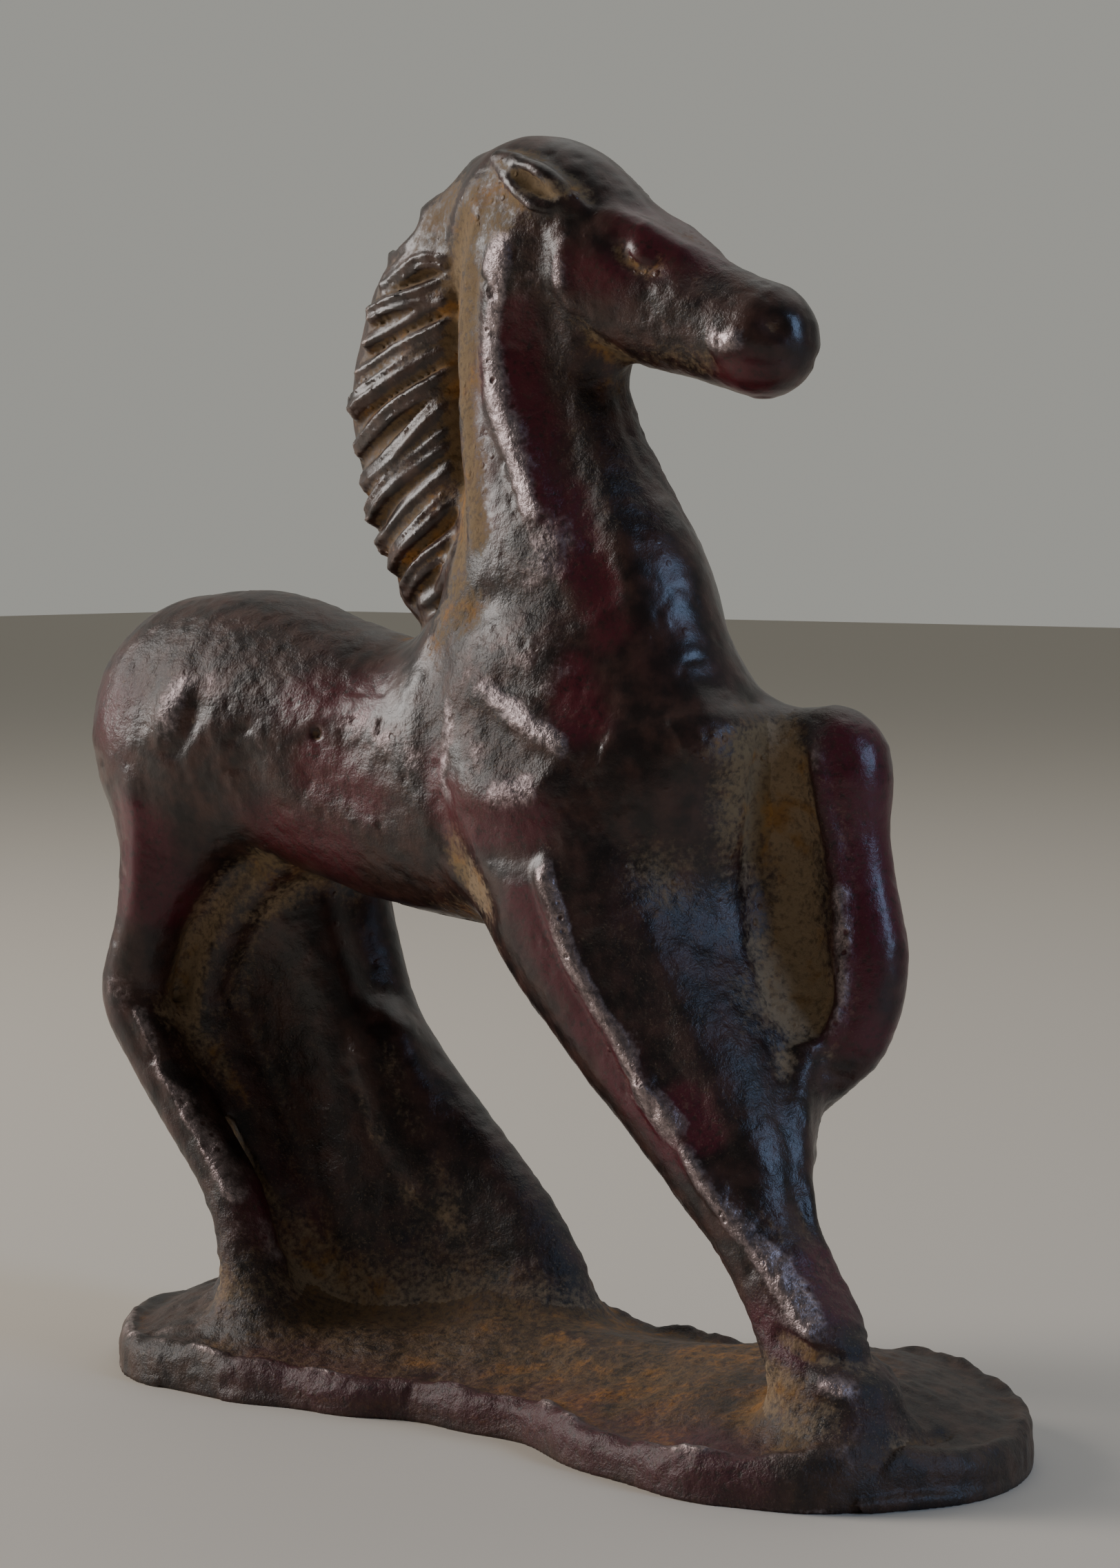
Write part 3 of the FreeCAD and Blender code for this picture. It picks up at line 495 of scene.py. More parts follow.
def mix_corners(part, corner):
    """The eight corner values of a cell mixed in proportion to the place within it."""
    total = 0.0
    for di in (0, 1):
        for dj in (0, 1):
            for dk in (0, 1):
                share = 1.0
                for axis, side in enumerate((di, dj, dk)):
                    share = share * (part[:, axis] if side else 1 - part[:, axis])
                total = total + share * corner(di, dj, dk)
    return total


def sample(values, points, start=(0, 0, 0)):
    """Values of a block field at points, mixed in proportion from the eight grid corners."""
    p = (points - LOW) / GRAIN - np.array(start)
    base = np.clip(np.floor(p).astype(int), 0, np.array(values.shape) - 2)
    i, j, k = base.T
    return mix_corners(p - base, lambda di, dj, dk: values[i + di, j + dj, k + dk])


def uphill(values, points, reach, unit=True):
    """Direction of steepest increase, from differences a reach apart along each axis."""
    grad = np.stack([sample(values, points + reach * e) - sample(values, points - reach * e)
                     for e in np.eye(3)], 1) / (2 * reach)
    if unit:
        grad = grad / np.maximum(np.linalg.norm(grad, axis=1, keepdims=True), 1e-6)
    return grad


LATTICE = (61, 59, 53)


def noise(points, size, seed):
    """Smooth noise about -1 to 1: random values on a cubic lattice of the given size, mixed
    with the smooth step 3t^2 - 2t^3 along each axis."""
    table = np.random.default_rng(seed).uniform(-1, 1, LATTICE)
    p = points / size + 1000.0
    base = np.floor(p).astype(int)
    part = p - base
    i, j, k = base.T
    return mix_corners(part * part * (3 - 2 * part),
                       lambda di, dj, dk: table[(i + di) % LATTICE[0], (j + dj) % LATTICE[1],
                                                (k + dk) % LATTICE[2]])


def skin(clay):
    """The closed skin where the depth is nothing: vertices settled onto it and four-sided
    faces wound outward."""
    grid = openvdb.FloatGrid(2.0)
    grid.copyFromArray(np.clip(clay.field, -2.0, 2.0))
    points, triangles, quads = grid.convertToPolygons(0.0, 0.0)
    verts = points.astype(float) * GRAIN + LOW
    for _ in range(2):
        slope = uphill(clay.field, verts, 0.5 * GRAIN, False)
        steep = np.maximum((slope * slope).sum(1), 0.05)
        step = sample(clay.field, verts) / steep
        limit = 0.3 * GRAIN / np.sqrt(steep)
        verts -= slope * np.clip(step, -limit, limit)[:, None]
    quads = quads.astype(int)
    a, b, c = verts[quads[:, 0]], verts[quads[:, 1]], verts[quads[:, 2]]
    outward = uphill(clay.field, a, GRAIN)
    if (np.cross(b - a, c - a) * outward).sum() < 0:
        quads = quads[:, ::-1]
    return verts, quads


def vertex_normals(verts, quads):
    """Each vertex takes the sum of the cross products of the diagonals of its faces."""
    face = np.cross(verts[quads[:, 2]] - verts[quads[:, 0]], verts[quads[:, 3]] - verts[quads[:, 1]])
    total = np.stack([np.bincount(quads.ravel(), np.repeat(face[:, i], 4), len(verts))
                      for i in range(3)], 1)
    return total / np.maximum(np.linalg.norm(total, axis=1, keepdims=True), 1e-9)


def casting_of(clay, verts, quads):
    """The casting that each face belongs to: the one whose own body it is deepest in or
    nearest to, and for the trunk the stretch between its two cross joints."""
    mid = verts[quads].mean(1)
    depth = np.full((len(CASTINGS), len(mid)), FAR)
    for index, box, own in clay.bodies:
        start = np.array([part.start for part in box])
        cell = (mid - LOW) / GRAIN - start
        inside = ((cell >= 0) & (cell <= np.array(own.shape) - 1)).all(1)
        depth[index, inside] = np.minimum(depth[index, inside], sample(own, mid[inside], start))
    owner = depth.argmin(0)
    trunk = owner == CASTINGS.index("barrel")
    owner[trunk & (mid[:, 0] < LOIN_X)] = CASTINGS.index("hindquarters")
    owner[trunk & (mid[:, 0] > GIRTH_X)] = CASTINGS.index("forehand")
    return settle_owner(quads, owner, len(verts))


def settle_owner(quads, owner, count, rounds=8):
    """Clears stray faces from the joints between castings: a face with three or four
    neighbours of one other casting goes over to it, and this is done a few times."""
    a, b = quads.ravel(), np.roll(quads, -1, axis=1).ravel()
    order = np.argsort(np.minimum(a, b) * count + np.maximum(a, b), kind="stable")
    first, second = order[0::2], order[1::2]
    across = np.empty(quads.size, int)
    across[first], across[second] = second // 4, first // 4
    across = across.reshape(-1, 4)
    for _ in range(rounds):
        near = np.sort(owner[across], axis=1)
        most = np.where(near[:, 1] == near[:, 0], near[:, 1], near[:, 2])
        strong = (owner[across] == most[:, None]).sum(1) >= 3
        owner = np.where(strong, most, owner)
    return owner


def islands(pairs, count):
    """Which separate closed rim each vertex is on: every vertex keeps taking the lowest
    number found across its rim edges until nothing changes."""
    label = np.arange(count)
    while True:
        low = np.minimum(label[pairs[:, 0]], label[pairs[:, 1]])
        fresh = label.copy()
        np.minimum.at(fresh, pairs[:, 0], low)
        np.minimum.at(fresh, pairs[:, 1], low)
        fresh = fresh[fresh]
        if (fresh == label).all():
            return label
        label = fresh


def open_rims(faces, count):
    """Edges that only one face uses, each in the direction in which that face runs."""
    a, b = faces.ravel(), np.roll(faces, -1, axis=1).ravel()
    lone = ~np.isin(a * count + b, b * count + a)
    return np.stack([a[lone], b[lone]], 1)


def close_hollow(points, faces, normals, wall=1.0):
    """A share of the skin made a closed shell: the same faces again a wall's thickness in
    along the normals, turned over, and a band of faces between the two along each rim."""
    count = len(points)
    rim = open_rims(faces, count)
    a, b = rim.T
    bands = np.stack([b, a, a + count, b + count], 1)
    whole = np.concatenate([points, points - normals * wall])
    return (whole, np.concatenate([faces, faces[:, ::-1] + count, bands]).tolist(),
            np.concatenate([normals, -normals]))


def close_solid(points, faces, normals, lip=1.6):
    """A share of the skin made solid: at each open rim a wall goes in along the normals by
    the lip, and a fan from it meets at the rim's middle."""
    count = len(points)
    rim = open_rims(faces, count)
    label = islands(rim, count)
    on_rim = np.unique(rim)
    sunk = np.full(count, -1)
    sunk[on_rim] = count + np.arange(len(on_rim))
    groups, member = np.unique(label[on_rim], return_inverse=True)
    share = np.bincount(member)
    below = points[on_rim] - normals[on_rim] * lip
    middle = np.stack([np.bincount(member, below[:, i]) / share for i in range(3)], 1)
    centre = np.zeros(count, int)
    centre[on_rim] = count + len(on_rim) + member
    a, b = rim.T
    walls = np.stack([b, a, sunk[a], sunk[b]], 1)
    fans = np.stack([sunk[b], sunk[a], centre[a]], 1)
    whole = np.concatenate([points, below, middle])
    facing = np.concatenate([normals, normals[on_rim], np.tile([0.0, 0.0, 1.0], (len(groups), 1))])
    return whole, faces.tolist() + walls.tolist() + fans.tolist(), facing


def add_object(name, data):
    obj = bpy.data.objects.new(name, data)
    bpy.context.scene.collection.objects.link(obj)
    return obj


def make_piece(name, verts, quads, normals, layers, material, close):
    """One casting's share of the skin as a closed mesh, carrying its patina layers."""
    used, flat = np.unique(quads, return_inverse=True)
    points, faces, facing = close(verts[used], flat.reshape(-1, 4), normals[used])
    mesh = bpy.data.meshes.new(name)
    mesh.from_pydata((points / 1000).tolist(), [], faces)
    mesh.polygons.foreach_set("use_smooth", np.ones(len(mesh.polygons), bool))
    for layer, values in layers.items():
        attribute = mesh.attributes.new(layer, "FLOAT", "POINT")
        padded = np.zeros(len(points), np.float32)
        padded[:len(used)] = values[used]
        attribute.data.foreach_set("value", padded)
    mesh.normals_split_custom_set_from_vertices(facing.tolist())
    mesh.materials.append(material)
    return add_object(name, mesh)


# Strokes of finish, given one by one: strength, radius and the x, y, z points of the stroke.
# A stroke wholly on the horse's right is repeated on its left, above the elbow.
ELBOW_HEIGHT = 72.0

WORN = [
    (1.15, 2.1, [(2.2, -9.6, 146), (0.2, -9.3, 140), (-0.3, -9.3, 134.3), (0.3, -9.5, 128.5),
                 (2.9, -9.8, 122.7), (5.5, -10, 117.9), (8, -10.2, 114)]),
    (0.62, 4.4, [(9, -10.6, 111), (10.3, -11.2, 107), (9.5, -11.6, 103)]),
    (0.40, 3.6, [(6.6, -9.2, 146), (6.2, -9.2, 140)]),
    (0.95, 1, [(11.7, -9.4, 147), (10.9, -9.6, 143.8), (10.6, -9.5, 140.5)]),
    (1.2, 1, [(-2.4, -6.4, 156.4), (0.8, -8.6, 154), (3.7, -9.7, 151.8), (6.6, -9.7, 150)]),
    (0.5, 0.7, [(-2, -6.2, 156.9), (2.2, -7.6, 156.1), (6, -8.6, 154.3)]),
    (0.44, 5, [(2, -13.6, 94), (8, -14, 95), (14, -13, 92)]),
    (1, 1.7, [(4, -15.8, 91.2), (8, -16.2, 89.4), (12.1, -16.4, 87.7), (17, -15.8, 85)]),
    (0.85, 2.4, [(9, -18.4, 79), (12.5, -18.4, 79.6)]),
    (0.75, 1.6, [(-2.6, -14.6, 89), (-2.6, -15.6, 82), (-1.6, -16.4, 77.6)]),
    (0.5, 4.5, [(4, -17, 84)]),
    (0.62, 3.6, [(-19, -14.2, 85.5), (-12, -15, 83.2), (-9, -15.2, 81.5)]),
    (0.30, 5, [(-27, -14.4, 85.5), (-36, -15.2, 83)]),
    (0.80, 2.2, [(-48.4, -16.6, 90), (-49.4, -17.8, 84.6)]),
    (0.40, 2.6, [(-45, -16, 91.4), (-42, -15.6, 87.4)]),
    (1, 1.8, [(15.6, -18.2, 70), (18.4, -18.4, 61.7), (21.5, -17.8, 56.3),
              (25.8, -17.2, 50), (29.1, -16.8, 44.7)]),
    (1, 2.6, [(29.6, -17, 44), (32.8, -16.6, 40.8)]),
    (0.78, 1.7, [(36, -16.2, 37.4), (41.5, -15.8, 31.1), (46.2, -15.2, 27)]),
    (1, 2.1, [(46.2, -15.2, 27), (50, -15, 22.9), (52.6, -15.2, 20)]),
    (0.85, 2.4, [(57.4, -17.2, 13.4)]),
    (0.45, 4, [(60, -19, 8), (48, -25, 5)]),
    (0.62, 1.7, [(-60, -17, 5.2), (-36, -24.6, 5.6), (-16, -22, 5.6), (2, -18.6, 5.6),
                 (20, -21, 5.6), (40, -25.6, 5.4), (58, -20, 5)]),
    (1.1, 2, [(31.4, -6.6, 133.4), (34.4, -6.7, 133)]),
    (0.15, 4, [(34, -5.8, 136.5)]),
    (0.85, 1.3, [(-56.4, -15.9, 46), (-51.1, -15.7, 37.8), (-45.4, -15.4, 31.1),
                 (-39.7, -15.2, 24.5)]),
    (0.75, 2.3, [(-36.6, -15, 19.6), (-35, -14.8, 16.5)]),
    (0.45, 3, [(-59.8, -15.8, 49)]),
    (0.9, 1.3, [(44.4, 2.2, 67), (45.4, 1.8, 60.1), (45, 1.6, 54.5), (43.4, 0.6, 50.2)]),
    (0.6, 2.8, [(38, 2.2, 86), (40.6, 2.2, 83.6)]),
    (0.36, 3.2, [(40, 1.8, 58), (40, 1.8, 52)]),
]

DUST_STROKES_WITH_PAINTED_LIGHT = [
    (0.8, 3.4, [(-4, -8.4, 152), (-8, -6.5, 145), (-10, -5.5, 137), (-10.5, -5, 128),
                (-9.5, -6, 119), (-7, -7.8, 112), (-5, -8.6, 104)]),
    (1.1, 1.7, [(0.2, -7.2, 155.9), (3.5, -8.2, 154.2), (7.6, -8.6, 152.2), (10.6, -8, 150.9)]),
    (0.9, 1.5, [(12.6, -7.2, 151.2), (13.6, -7.2, 149.4)]),
    (0.62, 5, [(-3.5, -7.5, 151.5), (1, -9, 148.6)]),
    (0.5, 2.8, [(13, -8, 134), (18, -6.4, 131), (25, -5, 130.6), (30, -5, 130.6)]),
    (0.30, 3, [(22.4, -4.8, 145.6)]),
    (0.62, 4, [(-11, -3, 153), (-15.5, -3.4, 148.8)]),
    (0.30, 7, [(-17, -4, 142), (-20, -4, 128), (-17, -4, 110)]),
    (0.95, 3.2, [(-3.8, -8.6, 147), (-5.8, -8.4, 137), (-5.8, -8.6, 127),
                 (-3.4, -9.4, 118), (-2, -10, 110)]),
    (1, 2.2, [(4.4, -10, 152.4), (8.6, -9.6, 151.4)]),
    (0.6, 4.5, [(-3, -9.4, 101), (-7, -8.6, 99)]),
    (0.75, 3, [(-41, -4.5, 66.5), (-48, -6, 60.4), (-52.4, -7, 53), (-54, -7.6, 46.5)]),
    (0.35, 3.4, [(-54, -7, 44), (-51, -7.4, 37)]),
    (0.75, 3, [(-1.5, -15.5, 70.5), (3, -15.4, 65.5)]),
    (0.5, 6, [(2, -5, 60), (-8, -4, 60)]),
    # pocket beside the raised foreleg: real dust, drawn stronger as painted light for window light
    # falling there
    (1.1, 4.4, [(34.8, 0.4, 85), (36.2, 0.4, 79), (37.2, 0.4, 70), (38.4, 0.4, 62),
                (40, 0.4, 55)]),
    (0.6, 2.2, [(40.6, -1, 47.4)]),
    (0.4, 5, [(28.6, -9.4, 70.5)]),
    (0.85, 5.5, [(49, -11, 12.5), (45, -7, 10.5)]),
    (0.45, 5, [(53, -18, 10)]),
    (0.75, 4.6, [(-42.4, -14.6, 13), (-36, -8, 12)]),
    (0.55, 2.6, [(-22.4, 4.4, 24.6), (-17.2, 5, 20.6)]),
    (0.36, 2.6, [(-31.4, 2.2, 41), (-26.6, 3.2, 32)]),
    (0.5, 11, [(-28, -6, 9), (0, 0, 8.5), (30, -5, 8.5)]),
]

WINE = [
    (0.95, 2.6, [(3.4, -9.2, 138), (3, -9.4, 131), (4.8, -9.8, 124.4), (8.4, -10.2, 117.6),
                 (13, -10.8, 110.5), (17, -11.2, 104.5), (19.6, -11.4, 99)]),
    (0.6, 4, [(13.6, -8.6, 141.5), (17, -7.6, 141)]),
    (0.45, 4, [(18, -4, 148), (27, -2.4, 144)]),
    (0.62, 3.2, [(35.6, -5.8, 128.8), (33, -5.8, 128.8)]),
    (0.9, 3.4, [(0.5, -16.2, 76.6), (6, -17.8, 75.4), (12, -18, 75.8)]),
    (0.8, 3, [(19, -14, 88.4), (16.6, -12.8, 93.4)]),
    (0.8, 2.4, [(-4.4, -15, 81), (-3.4, -15.8, 77), (-1.8, -15.8, 73.2)]),
    (0.8, 4, [(-24, -14, 80), (-17, -14.6, 77.4)]),
    (0.6, 4, [(-30, -14, 89.6), (-20, -12.8, 89.6)]),
    (0.75, 4.6, [(-36, -14.2, 71.6), (-24, -12.8, 69.4)]),
    (0.95, 4.8, [(-56, -16, 71), (-55.4, -15.6, 62)]),
    (0.55, 7, [(-63, -12, 85)]),
    (0.9, 2.8, [(12, -17, 66), (19, -15.8, 54.4), (27, -15, 44.8), (34, -14, 36.4)]),
    (0.85, 2.6, [(34.6, -15.8, 43), (36.8, -14.6, 40)]),
    (0.75, 2.8, [(47, -16, 20.4), (50.6, -15.8, 16.4)]),
    (0.7, 3, [(50, -10, 26), (54, -9, 21)]),
    (0.85, 3.2, [(45, 3, 86), (46, 3, 75), (46.8, 3.4, 66), (47.6, 3, 58), (46, 2.4, 51)]),
    (0.6, 4, [(-30, -22, 4), (0, -19, 4), (30, -23, 4), (50, -25, 4)]),
    (0.5, 3, [(-3, -9, 131), (-2, -9.8, 120), (0.5, -10.4, 112)]),
    (0.6, 3, [(-38, -12, 26), (-36, -10, 19)]),
]

COARSE = [
    (1, 5, [(38.4, 2, 84), (39.6, 2.2, 70), (41.2, 1, 54)]),
    (0.5, 8, [(27, -11, 64), (33, -9, 54), (38, -8, 44)]),
    (0.75, 5, [(8.4, -8.4, 136), (11, -8.4, 124), (16, -9.4, 112)]),
    (0.85, 6, [(9.5, -11.4, 108), (10, -12, 102)]),
    (0.75, 8, [(3, -15, 91), (9, -16.4, 84)]),
    (0.6, 5, [(5, -9, 145), (6, -9, 139)]),
    (0.95, 20, [(-45, 0, 9), (0, 0, 9), (55, 0, 9)]),
    (0.6, 5, [(-8, -7, 140), (-10, -6, 128), (-7, -8, 112)]),
    (0.5, 8, [(-12, -14, 78), (-30, -13, 74)]),
    (0.55, 8, [(-47, -4, 50), (-40, -3, 30)]),
    (0.6, 5, [(30, -5, 138), (22, -5.6, 134)]),
    (0.7, 8, [(-58, -10, 91), (-46, -10, 95), (-34, -10, 94)]),
    (0.6, 6, [(-4, -8.4, 104), (-4, -12, 92), (-6, -14, 80)]),
]

# Each bronze: the two tones of the dark patina, the wine glaze, the rubbed metal and the dust (on the
# legs lightened as painted light).
BRONZES = {
    "body_bronze": dict(deep=(0.015, 0.0075, 0.0065), brown=(0.062, 0.025, 0.018),
                        wine=(0.088, 0.010, 0.016), metal=(0.42, 0.345, 0.35),
                        dust_and_painted_light=(0.230, 0.155, 0.078), ochre=(0.36, 0.175, 0.040)),
    "mane_bronze": dict(deep=(0.022, 0.012, 0.009), brown=(0.080, 0.040, 0.027),
                        wine=(0.080, 0.022, 0.024), metal=(0.36, 0.28, 0.25),
                        dust_and_painted_light=(0.200, 0.130, 0.066), ochre=(0.38, 0.185, 0.042)),
    # leg dust tone lightened past the dust's own colour: painted light for the window-lit pocket
    # beside the raised foreleg
    "leg_bronze": dict(deep=(0.013, 0.007, 0.0065), brown=(0.056, 0.024, 0.019),
                       wine=(0.082, 0.009, 0.018), metal=(0.41, 0.325, 0.325),
                       dust_and_painted_light=(0.310, 0.215, 0.125), ochre=(0.27, 0.140, 0.040)),
    "ground_bronze": dict(deep=(0.018, 0.010, 0.008), brown=(0.062, 0.030, 0.019),
                          wine=(0.072, 0.015, 0.020), metal=(0.41, 0.325, 0.31),
                          dust_and_painted_light=(0.180, 0.105, 0.046), ochre=(0.34, 0.155, 0.034)),
}


def new_material(name):
    material = bpy.data.materials.new(name)
    material.use_nodes = True
    return material, material.node_tree.nodes, material.node_tree.links


def set_inputs(node, **values):
    """Fills in a node's sockets by name, with an underscore for each space."""
    for name, value in values.items():
        node.inputs[name.replace("_", " ")].default_value = value


def patina(name, deep, brown, wine, metal, dust_and_painted_light, ochre):
    """Waxed, rubbed and dusty bronze.  The four layers painted on the piece, each broken up
    by noise, decide in turn how much wine glaze lies over the dark patina, where bare metal
    shows, and where dust covers both; on the legs the dust tone is lightened past its own
    colour as painted light, for window light on the pocket beside the raised foreleg.
    Grain makes the surface rougher."""
    material, nodes, links = new_material(name)
    shader = nodes["Principled BSDF"]
    set_inputs(shader, Specular_IOR_Level=0.38, IOR=1.6)
    place = nodes.new("ShaderNodeTexCoord").outputs["Object"]

    def noisy(scale, detail, rough=0.55):
        node = nodes.new("ShaderNodeTexNoise")
        links.new(place, node.inputs["Vector"])
        set_inputs(node, Scale=scale, Detail=detail, Roughness=rough)
        return node.outputs["Fac"]

    def layer(key):
        node = nodes.new("ShaderNodeAttribute")
        node.attribute_name = key
        return node.outputs["Fac"]

    def give(socket, value):
        if isinstance(value, tuple):
            socket.default_value = (*value, 1)
        elif isinstance(value, (int, float)):
            socket.default_value = value
        elif value is not None:
            links.new(value, socket)

    def maths(operation, a, b, c=None):
        node = nodes.new("ShaderNodeMath")
        node.operation = operation
        for socket, value in zip(node.inputs, (a, b, c)):
            give(socket, value)
        return node.outputs[0]

    def step(value, low, high):
        node = nodes.new("ShaderNodeMapRange")
        node.interpolation_type = "SMOOTHSTEP"
        links.new(value, node.inputs["Value"])
        set_inputs(node, From_Min=low, From_Max=high)
        return node.outputs["Result"]

    def blend(factor, a, b, kind="RGBA"):
        node = nodes.new("ShaderNodeMix")
        node.data_type = kind
        links.new(factor, node.inputs[0])
        first, result = {"RGBA": (6, 2), "FLOAT": (2, 0)}[kind]
        give(node.inputs[first], a)
        give(node.inputs[first + 1], b)
        return node.outputs[result]

    cloud = noisy(70.0, 3)
    mottle = noisy(300.0, 4)
    speckle = noisy(1300.0, 4, 0.65)
    crumb = noisy(3200.0, 2, 0.6)
    cells = nodes.new("ShaderNodeTexVoronoi")
    links.new(place, cells.inputs["Vector"])
    set_inputs(cells, Scale=560.0)
    pits = step(cells.outputs["Distance"], 0.30, 0.12)
    pits = maths("MULTIPLY", pits, step(mottle, 0.5, 0.62))

    broken = maths("MULTIPLY_ADD", mottle, 0.9, maths("MULTIPLY_ADD", speckle, 0.7, -0.8))
    worn = step(maths("ADD", layer("worn"), broken), 0.22, 0.95)
    worn = maths("MULTIPLY", worn, maths("SUBTRACT", 1.0, pits))
    dust_and_painted_light_cover = maths("MULTIPLY_ADD", speckle, 1.3, maths("MULTIPLY_ADD", cloud, 0.5, -0.9))
    dust_and_painted_light_cover = step(maths("ADD", layer("dust_and_painted_light"), dust_and_painted_light_cover), 0.18, 0.95)
    red = step(maths("MULTIPLY_ADD", cloud, 1.0, maths("ADD", layer("red"), -0.42)), 0.10, 0.72)
    red = maths("MULTIPLY", red, step(speckle, 0.25, 0.55))
    grain = layer("grain")

    patinated = blend(step(mottle, 0.35, 0.7), deep, brown)
    patinated = blend(red, patinated, wine)
    flecks = maths("MULTIPLY", step(crumb, 0.58, 0.72), maths("MULTIPLY", grain, 0.5))
    patinated = blend(flecks, patinated, dust_and_painted_light)
    rubbed = blend(step(speckle, 0.3, 0.7), tuple(0.45 * c for c in metal), metal)
    covered = blend(worn, patinated, rubbed)
    powder_and_painted_light = blend(step(maths("MULTIPLY_ADD", mottle, 0.6, maths("MULTIPLY", cloud, 0.5)),
                        0.56, 0.72), dust_and_painted_light, ochre)
    caked = maths("MULTIPLY_ADD", step(speckle, 0.30, 0.55), 0.45, 0.45)
    links.new(blend(maths("MULTIPLY", dust_and_painted_light_cover, caked), covered, powder_and_painted_light), shader.inputs["Base Color"])

    bare = maths("MULTIPLY", worn, maths("SUBTRACT", 1.0, dust_and_painted_light_cover))
    links.new(maths("MULTIPLY", bare, 0.92), shader.inputs["Metallic"])
    rough = blend(step(grain, 0.15, 0.8), 0.31, 0.52, "FLOAT")
    rough = maths("MULTIPLY_ADD", mottle, 0.12, maths("ADD", rough, -0.06))
    rough = blend(worn, rough, 0.37, "FLOAT")
    links.new(blend(dust_and_painted_light_cover, rough, 0.88, "FLOAT"), shader.inputs["Roughness"])

    height = maths("MULTIPLY", speckle, maths("MULTIPLY_ADD", grain, 0.9,
                                             maths("MULTIPLY_ADD", worn, 0.3, 0.12)))
    height = maths("MULTIPLY_ADD", crumb, maths("MULTIPLY_ADD", grain, 0.3, 0.03), height)
    height = maths("MULTIPLY_ADD", maths("MULTIPLY", pits, layer("worn")), -0.8, height)
    bump = nodes.new("ShaderNodeBump")
    set_inputs(bump, Strength=0.55, Distance=0.0006)
    links.new(height, bump.inputs["Height"])
    links.new(bump.outputs["Normal"], shader.inputs["Normal"])
    return material


def plain(name, colour, metallic, rough):
    material, nodes, _ = new_material(name)
    set_inputs(nodes["Principled BSDF"], Base_Color=(*colour, 1), Metallic=metallic, Roughness=rough)
    return material


def weather(verts, normals):
    """Hand-finished casting surface: the skin is moved along its normals by slow waves, by
    small lumps, and on cast-rough stretches by a fine grain."""
    rough = paint(verts, COARSE)
    wave_seed, lump_seed, grit_seed, pit_seed = 11, 12, 13, 14
    shift = 0.20 * noise(verts, 9.0, wave_seed) + 0.09 * noise(verts, 3.2, lump_seed)
    shift += (0.05 + 0.17 * rough) * noise(verts, 1.25, grit_seed)
    pits = np.clip(noise(verts, 1.7, pit_seed) - 0.42, 0, None)
    shift -= 0.9 * pits * np.clip(0.25 + paint(verts, WORN), 0, 1)
    upright = np.clip((verts[:, 2] - 0.2) / 1.5, 0, 1) * (normals[:, 2] > -0.98)
    return verts + normals * (shift * upright)[:, None]


def paint(verts, strokes):
    """How strongly listed strokes cover each point: along a stroke's bent line the cover
    is its strength times exp(-(d / radius)^2) at a distance d, in which the part across the
    horse counts for two fifths; the greatest of all the strokes holds, and above the elbow
    both sides of the horse are treated alike."""
    squash = np.array([1, 0.4, 1])
    spot = (verts - (DATUM_X, 0, 0)) * squash
    spot = spot + 1.3 * np.stack([noise(verts, 5.0, 31 + i) for i in range(3)], 1)
    folded = spot.copy()
    folded[:, 1] = np.where(verts[:, 2] > ELBOW_HEIGHT, -np.abs(spot[:, 1]), spot[:, 1])
    cover = np.zeros(len(verts))
    for strength, radius, line in strokes:
        line = np.array(line, float)
        if len(line) == 1:
            line = np.concatenate([line, line + (0, 0, 0.01)])
        where = spot if line[:, 1].max() > 0 else folded
        line = line * squash
        away = np.full(len(verts), 1e9)
        for p, q in zip(line[:-1], line[1:]):
            d = q - p
            t = np.clip((where - p) @ d / (d @ d), 0, 1)
            away = np.minimum(away, ((where - p - t[:, None] * d) ** 2).sum(1))
        cover = np.maximum(cover, strength * np.exp(-away / radius ** 2))
    return cover


def roundness(clay, verts, reach):
    """How sharply the skin bulges, in 1/mm: three times the mean rise in depth a reach away
    along the six axes, over the reach squared; hollows are negative."""
    total = sum(sample(clay.field, verts + side * reach * e)
                for e in np.eye(3) for side in (-1, 1))
    return (total / 6 - sample(clay.field, verts)) * 3 / reach ** 2


def patina_layers(clay, verts, normals):
    """Four numbers a point: worn metal on edges, dust in hollows and along listed strokes
    (the stroke in the pocket beside the raised foreleg is strengthened as painted light),
    wine-red glaze, and grain.
    """
    sharp = roundness(clay, verts, 1.3)
    shut = 1 - np.clip(sample(clay.field, verts + 4.0 * normals) / 4.0, 0, 1)
    worn = paint(verts, WORN)
    worn = worn + np.clip((sharp - 0.24) * 1.0, 0, 0.6)
    dust_and_painted_light = 1.15 * paint(verts, DUST_STROKES_WITH_PAINTED_LIGHT)
    worn = worn - 0.7 * np.clip(-sharp * 4, 0, 1) - 0.5 * np.clip(shut * 1.6, 0, 1) - 0.5 * dust_and_painted_light
    dust_and_painted_light = dust_and_painted_light + np.clip(-sharp * 1.1, 0, 0.4)
    dust_and_painted_light = dust_and_painted_light + np.clip(shut - 0.2, 0, 0.6) * 0.6 - np.clip(sharp * 2.0, 0, 0.5)
    red = paint(verts, WINE)
    grain = paint(verts, COARSE)
    return {"worn": worn, "dust_and_painted_light": dust_and_painted_light, "red": red, "grain": grain}


SLOTS = {"ground_base": "ground_bronze", "mane_crest": "mane_bronze"}
SLOTS.update({leg: "leg_bronze" for leg in CASTINGS[CASTINGS.index("foreleg_right"):]})


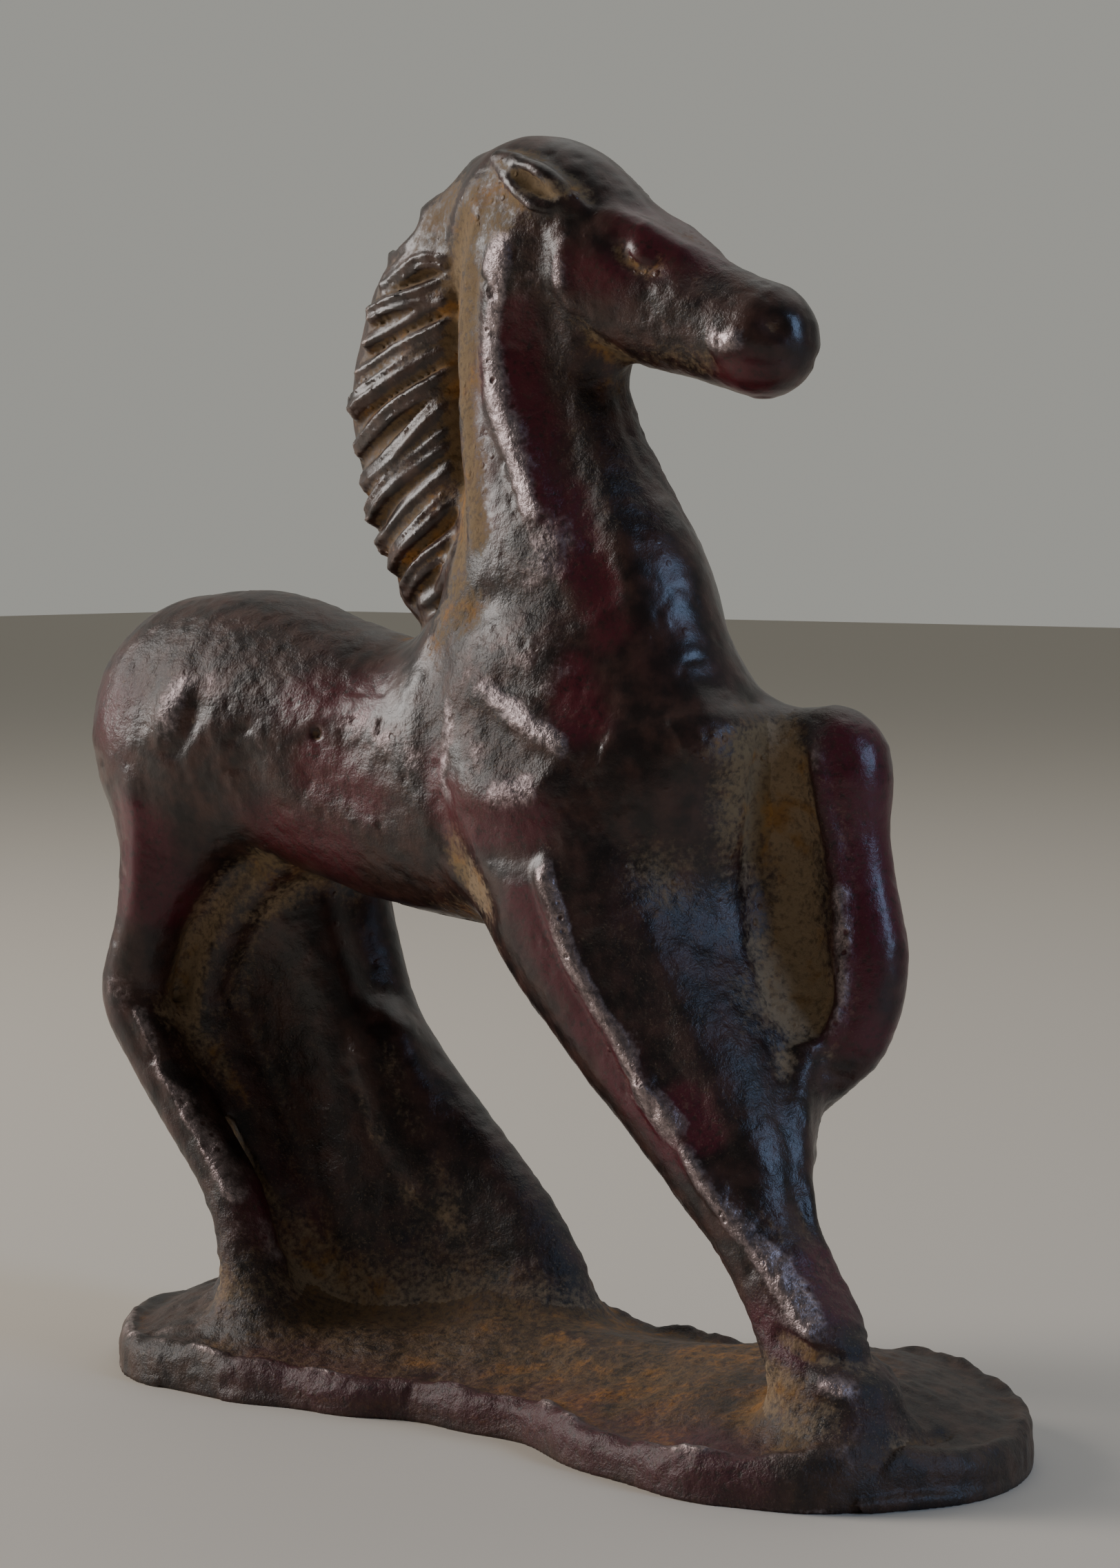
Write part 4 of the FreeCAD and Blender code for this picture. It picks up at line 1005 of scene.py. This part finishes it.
def build():
    clay = shape_horse()
    verts, quads = skin(clay)
    owner = casting_of(clay, verts, quads)
    verts[np.abs(verts[:, 2]) < 0.35 * GRAIN, 2] = 0.0
    smooth = vertex_normals(verts, quads)
    layers = patina_layers(clay, verts, smooth)
    verts = weather(verts, smooth)
    normals = vertex_normals(verts, quads)
    looks = {slot: patina(slot, **tones) for slot, tones in BRONZES.items()}
    for index, casting in enumerate(CASTINGS):
        mine = quads[owner == index]
        slot = SLOTS.get(casting, "body_bronze")
        close = close_solid if casting == "ground_base" else close_hollow
        obj = make_piece(casting + "_skin", verts, mine, normals, layers, looks[slot], close)
        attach(obj, "root")
        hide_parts(casting)


build()

brass = plain("dowel_brass", (0.72, 0.5, 0.22), 1.0, 0.3)
steel = plain("stud_steel", (0.5, 0.5, 0.5), 1.0, 0.35)
for node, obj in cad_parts.items():
    obj.data.materials.clear()
    obj.data.materials.append(steel if node in ("hoof_studs", "stud_washers", "stud_nuts") else brass)

floor_mesh = bpy.data.meshes.new("floor")
floor_mesh.from_pydata([(-3, -3, 0), (3, -3, 0), (3, 3, 0), (-3, 3, 0)], [], [(0, 1, 2, 3)])
floor_mesh.materials.append(plain("floor", (0.64, 0.585, 0.51), 0.0, 0.7))
add_object("floor", floor_mesh)


def area_light(name, place, aim, size, power, colour):
    """A rectangular window of light, turned to face the point it is aimed at."""
    data = bpy.data.lights.new(name, "AREA")
    data.shape = "RECTANGLE"
    data.size, data.size_y = size
    data.energy = power
    data.color = colour
    lamp = add_object(name, data)
    lamp.location = place
    direction = np.array(aim, float) - np.array(place, float)
    yaw = math.atan2(-direction[0], direction[1])
    pitch = math.atan2(direction[2], math.hypot(direction[0], direction[1]))
    lamp.rotation_euler = Euler((math.pi / 2 + pitch, 0, yaw))


area_light("window", (-0.82, -0.40, 0.46), (0, 0, 0.09), (0.36, 0.6), 8.0, (1.0, 0.95, 0.91))
area_light("far_window", (0.85, 0.05, 0.42), (0, 0, 0.09), (0.18, 0.5), 2.6, (0.42, 0.62, 1.0))
area_light("ceiling", (-0.1, 0.5, 1.0), (0, 0, 0.05), (1.0, 1.0), 1.6, (1.0, 0.98, 0.95))


def studio_room(brightest=0.34, dimmest=0.09):
    """Even room light, fading from a pale wall behind the horse to a dimmer one in front."""
    world = bpy.data.worlds.new("studio")
    bpy.context.scene.world = world
    world.use_nodes = True
    nodes, links = world.node_tree.nodes, world.node_tree.links
    way = nodes.new("ShaderNodeTexCoord")
    facing = nodes.new("ShaderNodeVectorMath")
    facing.operation = "DOT_PRODUCT"
    facing.inputs[1].default_value = (-0.62, 0.75, 0.1)
    links.new(way.outputs["Generated"], facing.inputs[0])
    fade = nodes.new("ShaderNodeMapRange")
    fade.interpolation_type = "SMOOTHSTEP"
    set_inputs(fade, From_Min=-0.5, From_Max=0.8, To_Min=dimmest, To_Max=brightest)
    links.new(facing.outputs["Value"], fade.inputs["Value"])
    background = nodes["Background"]
    set_inputs(background, Color=(1.0, 0.99, 0.91, 1))
    links.new(fade.outputs["Result"], background.inputs["Strength"])


studio_room()

camera_data = bpy.data.cameras.new("camera")
camera_data.lens = 87.07
camera_data.sensor_width = 36
camera = add_object("camera", camera_data)
camera.location = (0.3084, -0.3624, 0.112)
camera.rotation_euler = (math.radians(86), 0, math.radians(40))
bpy.context.scene.camera = camera
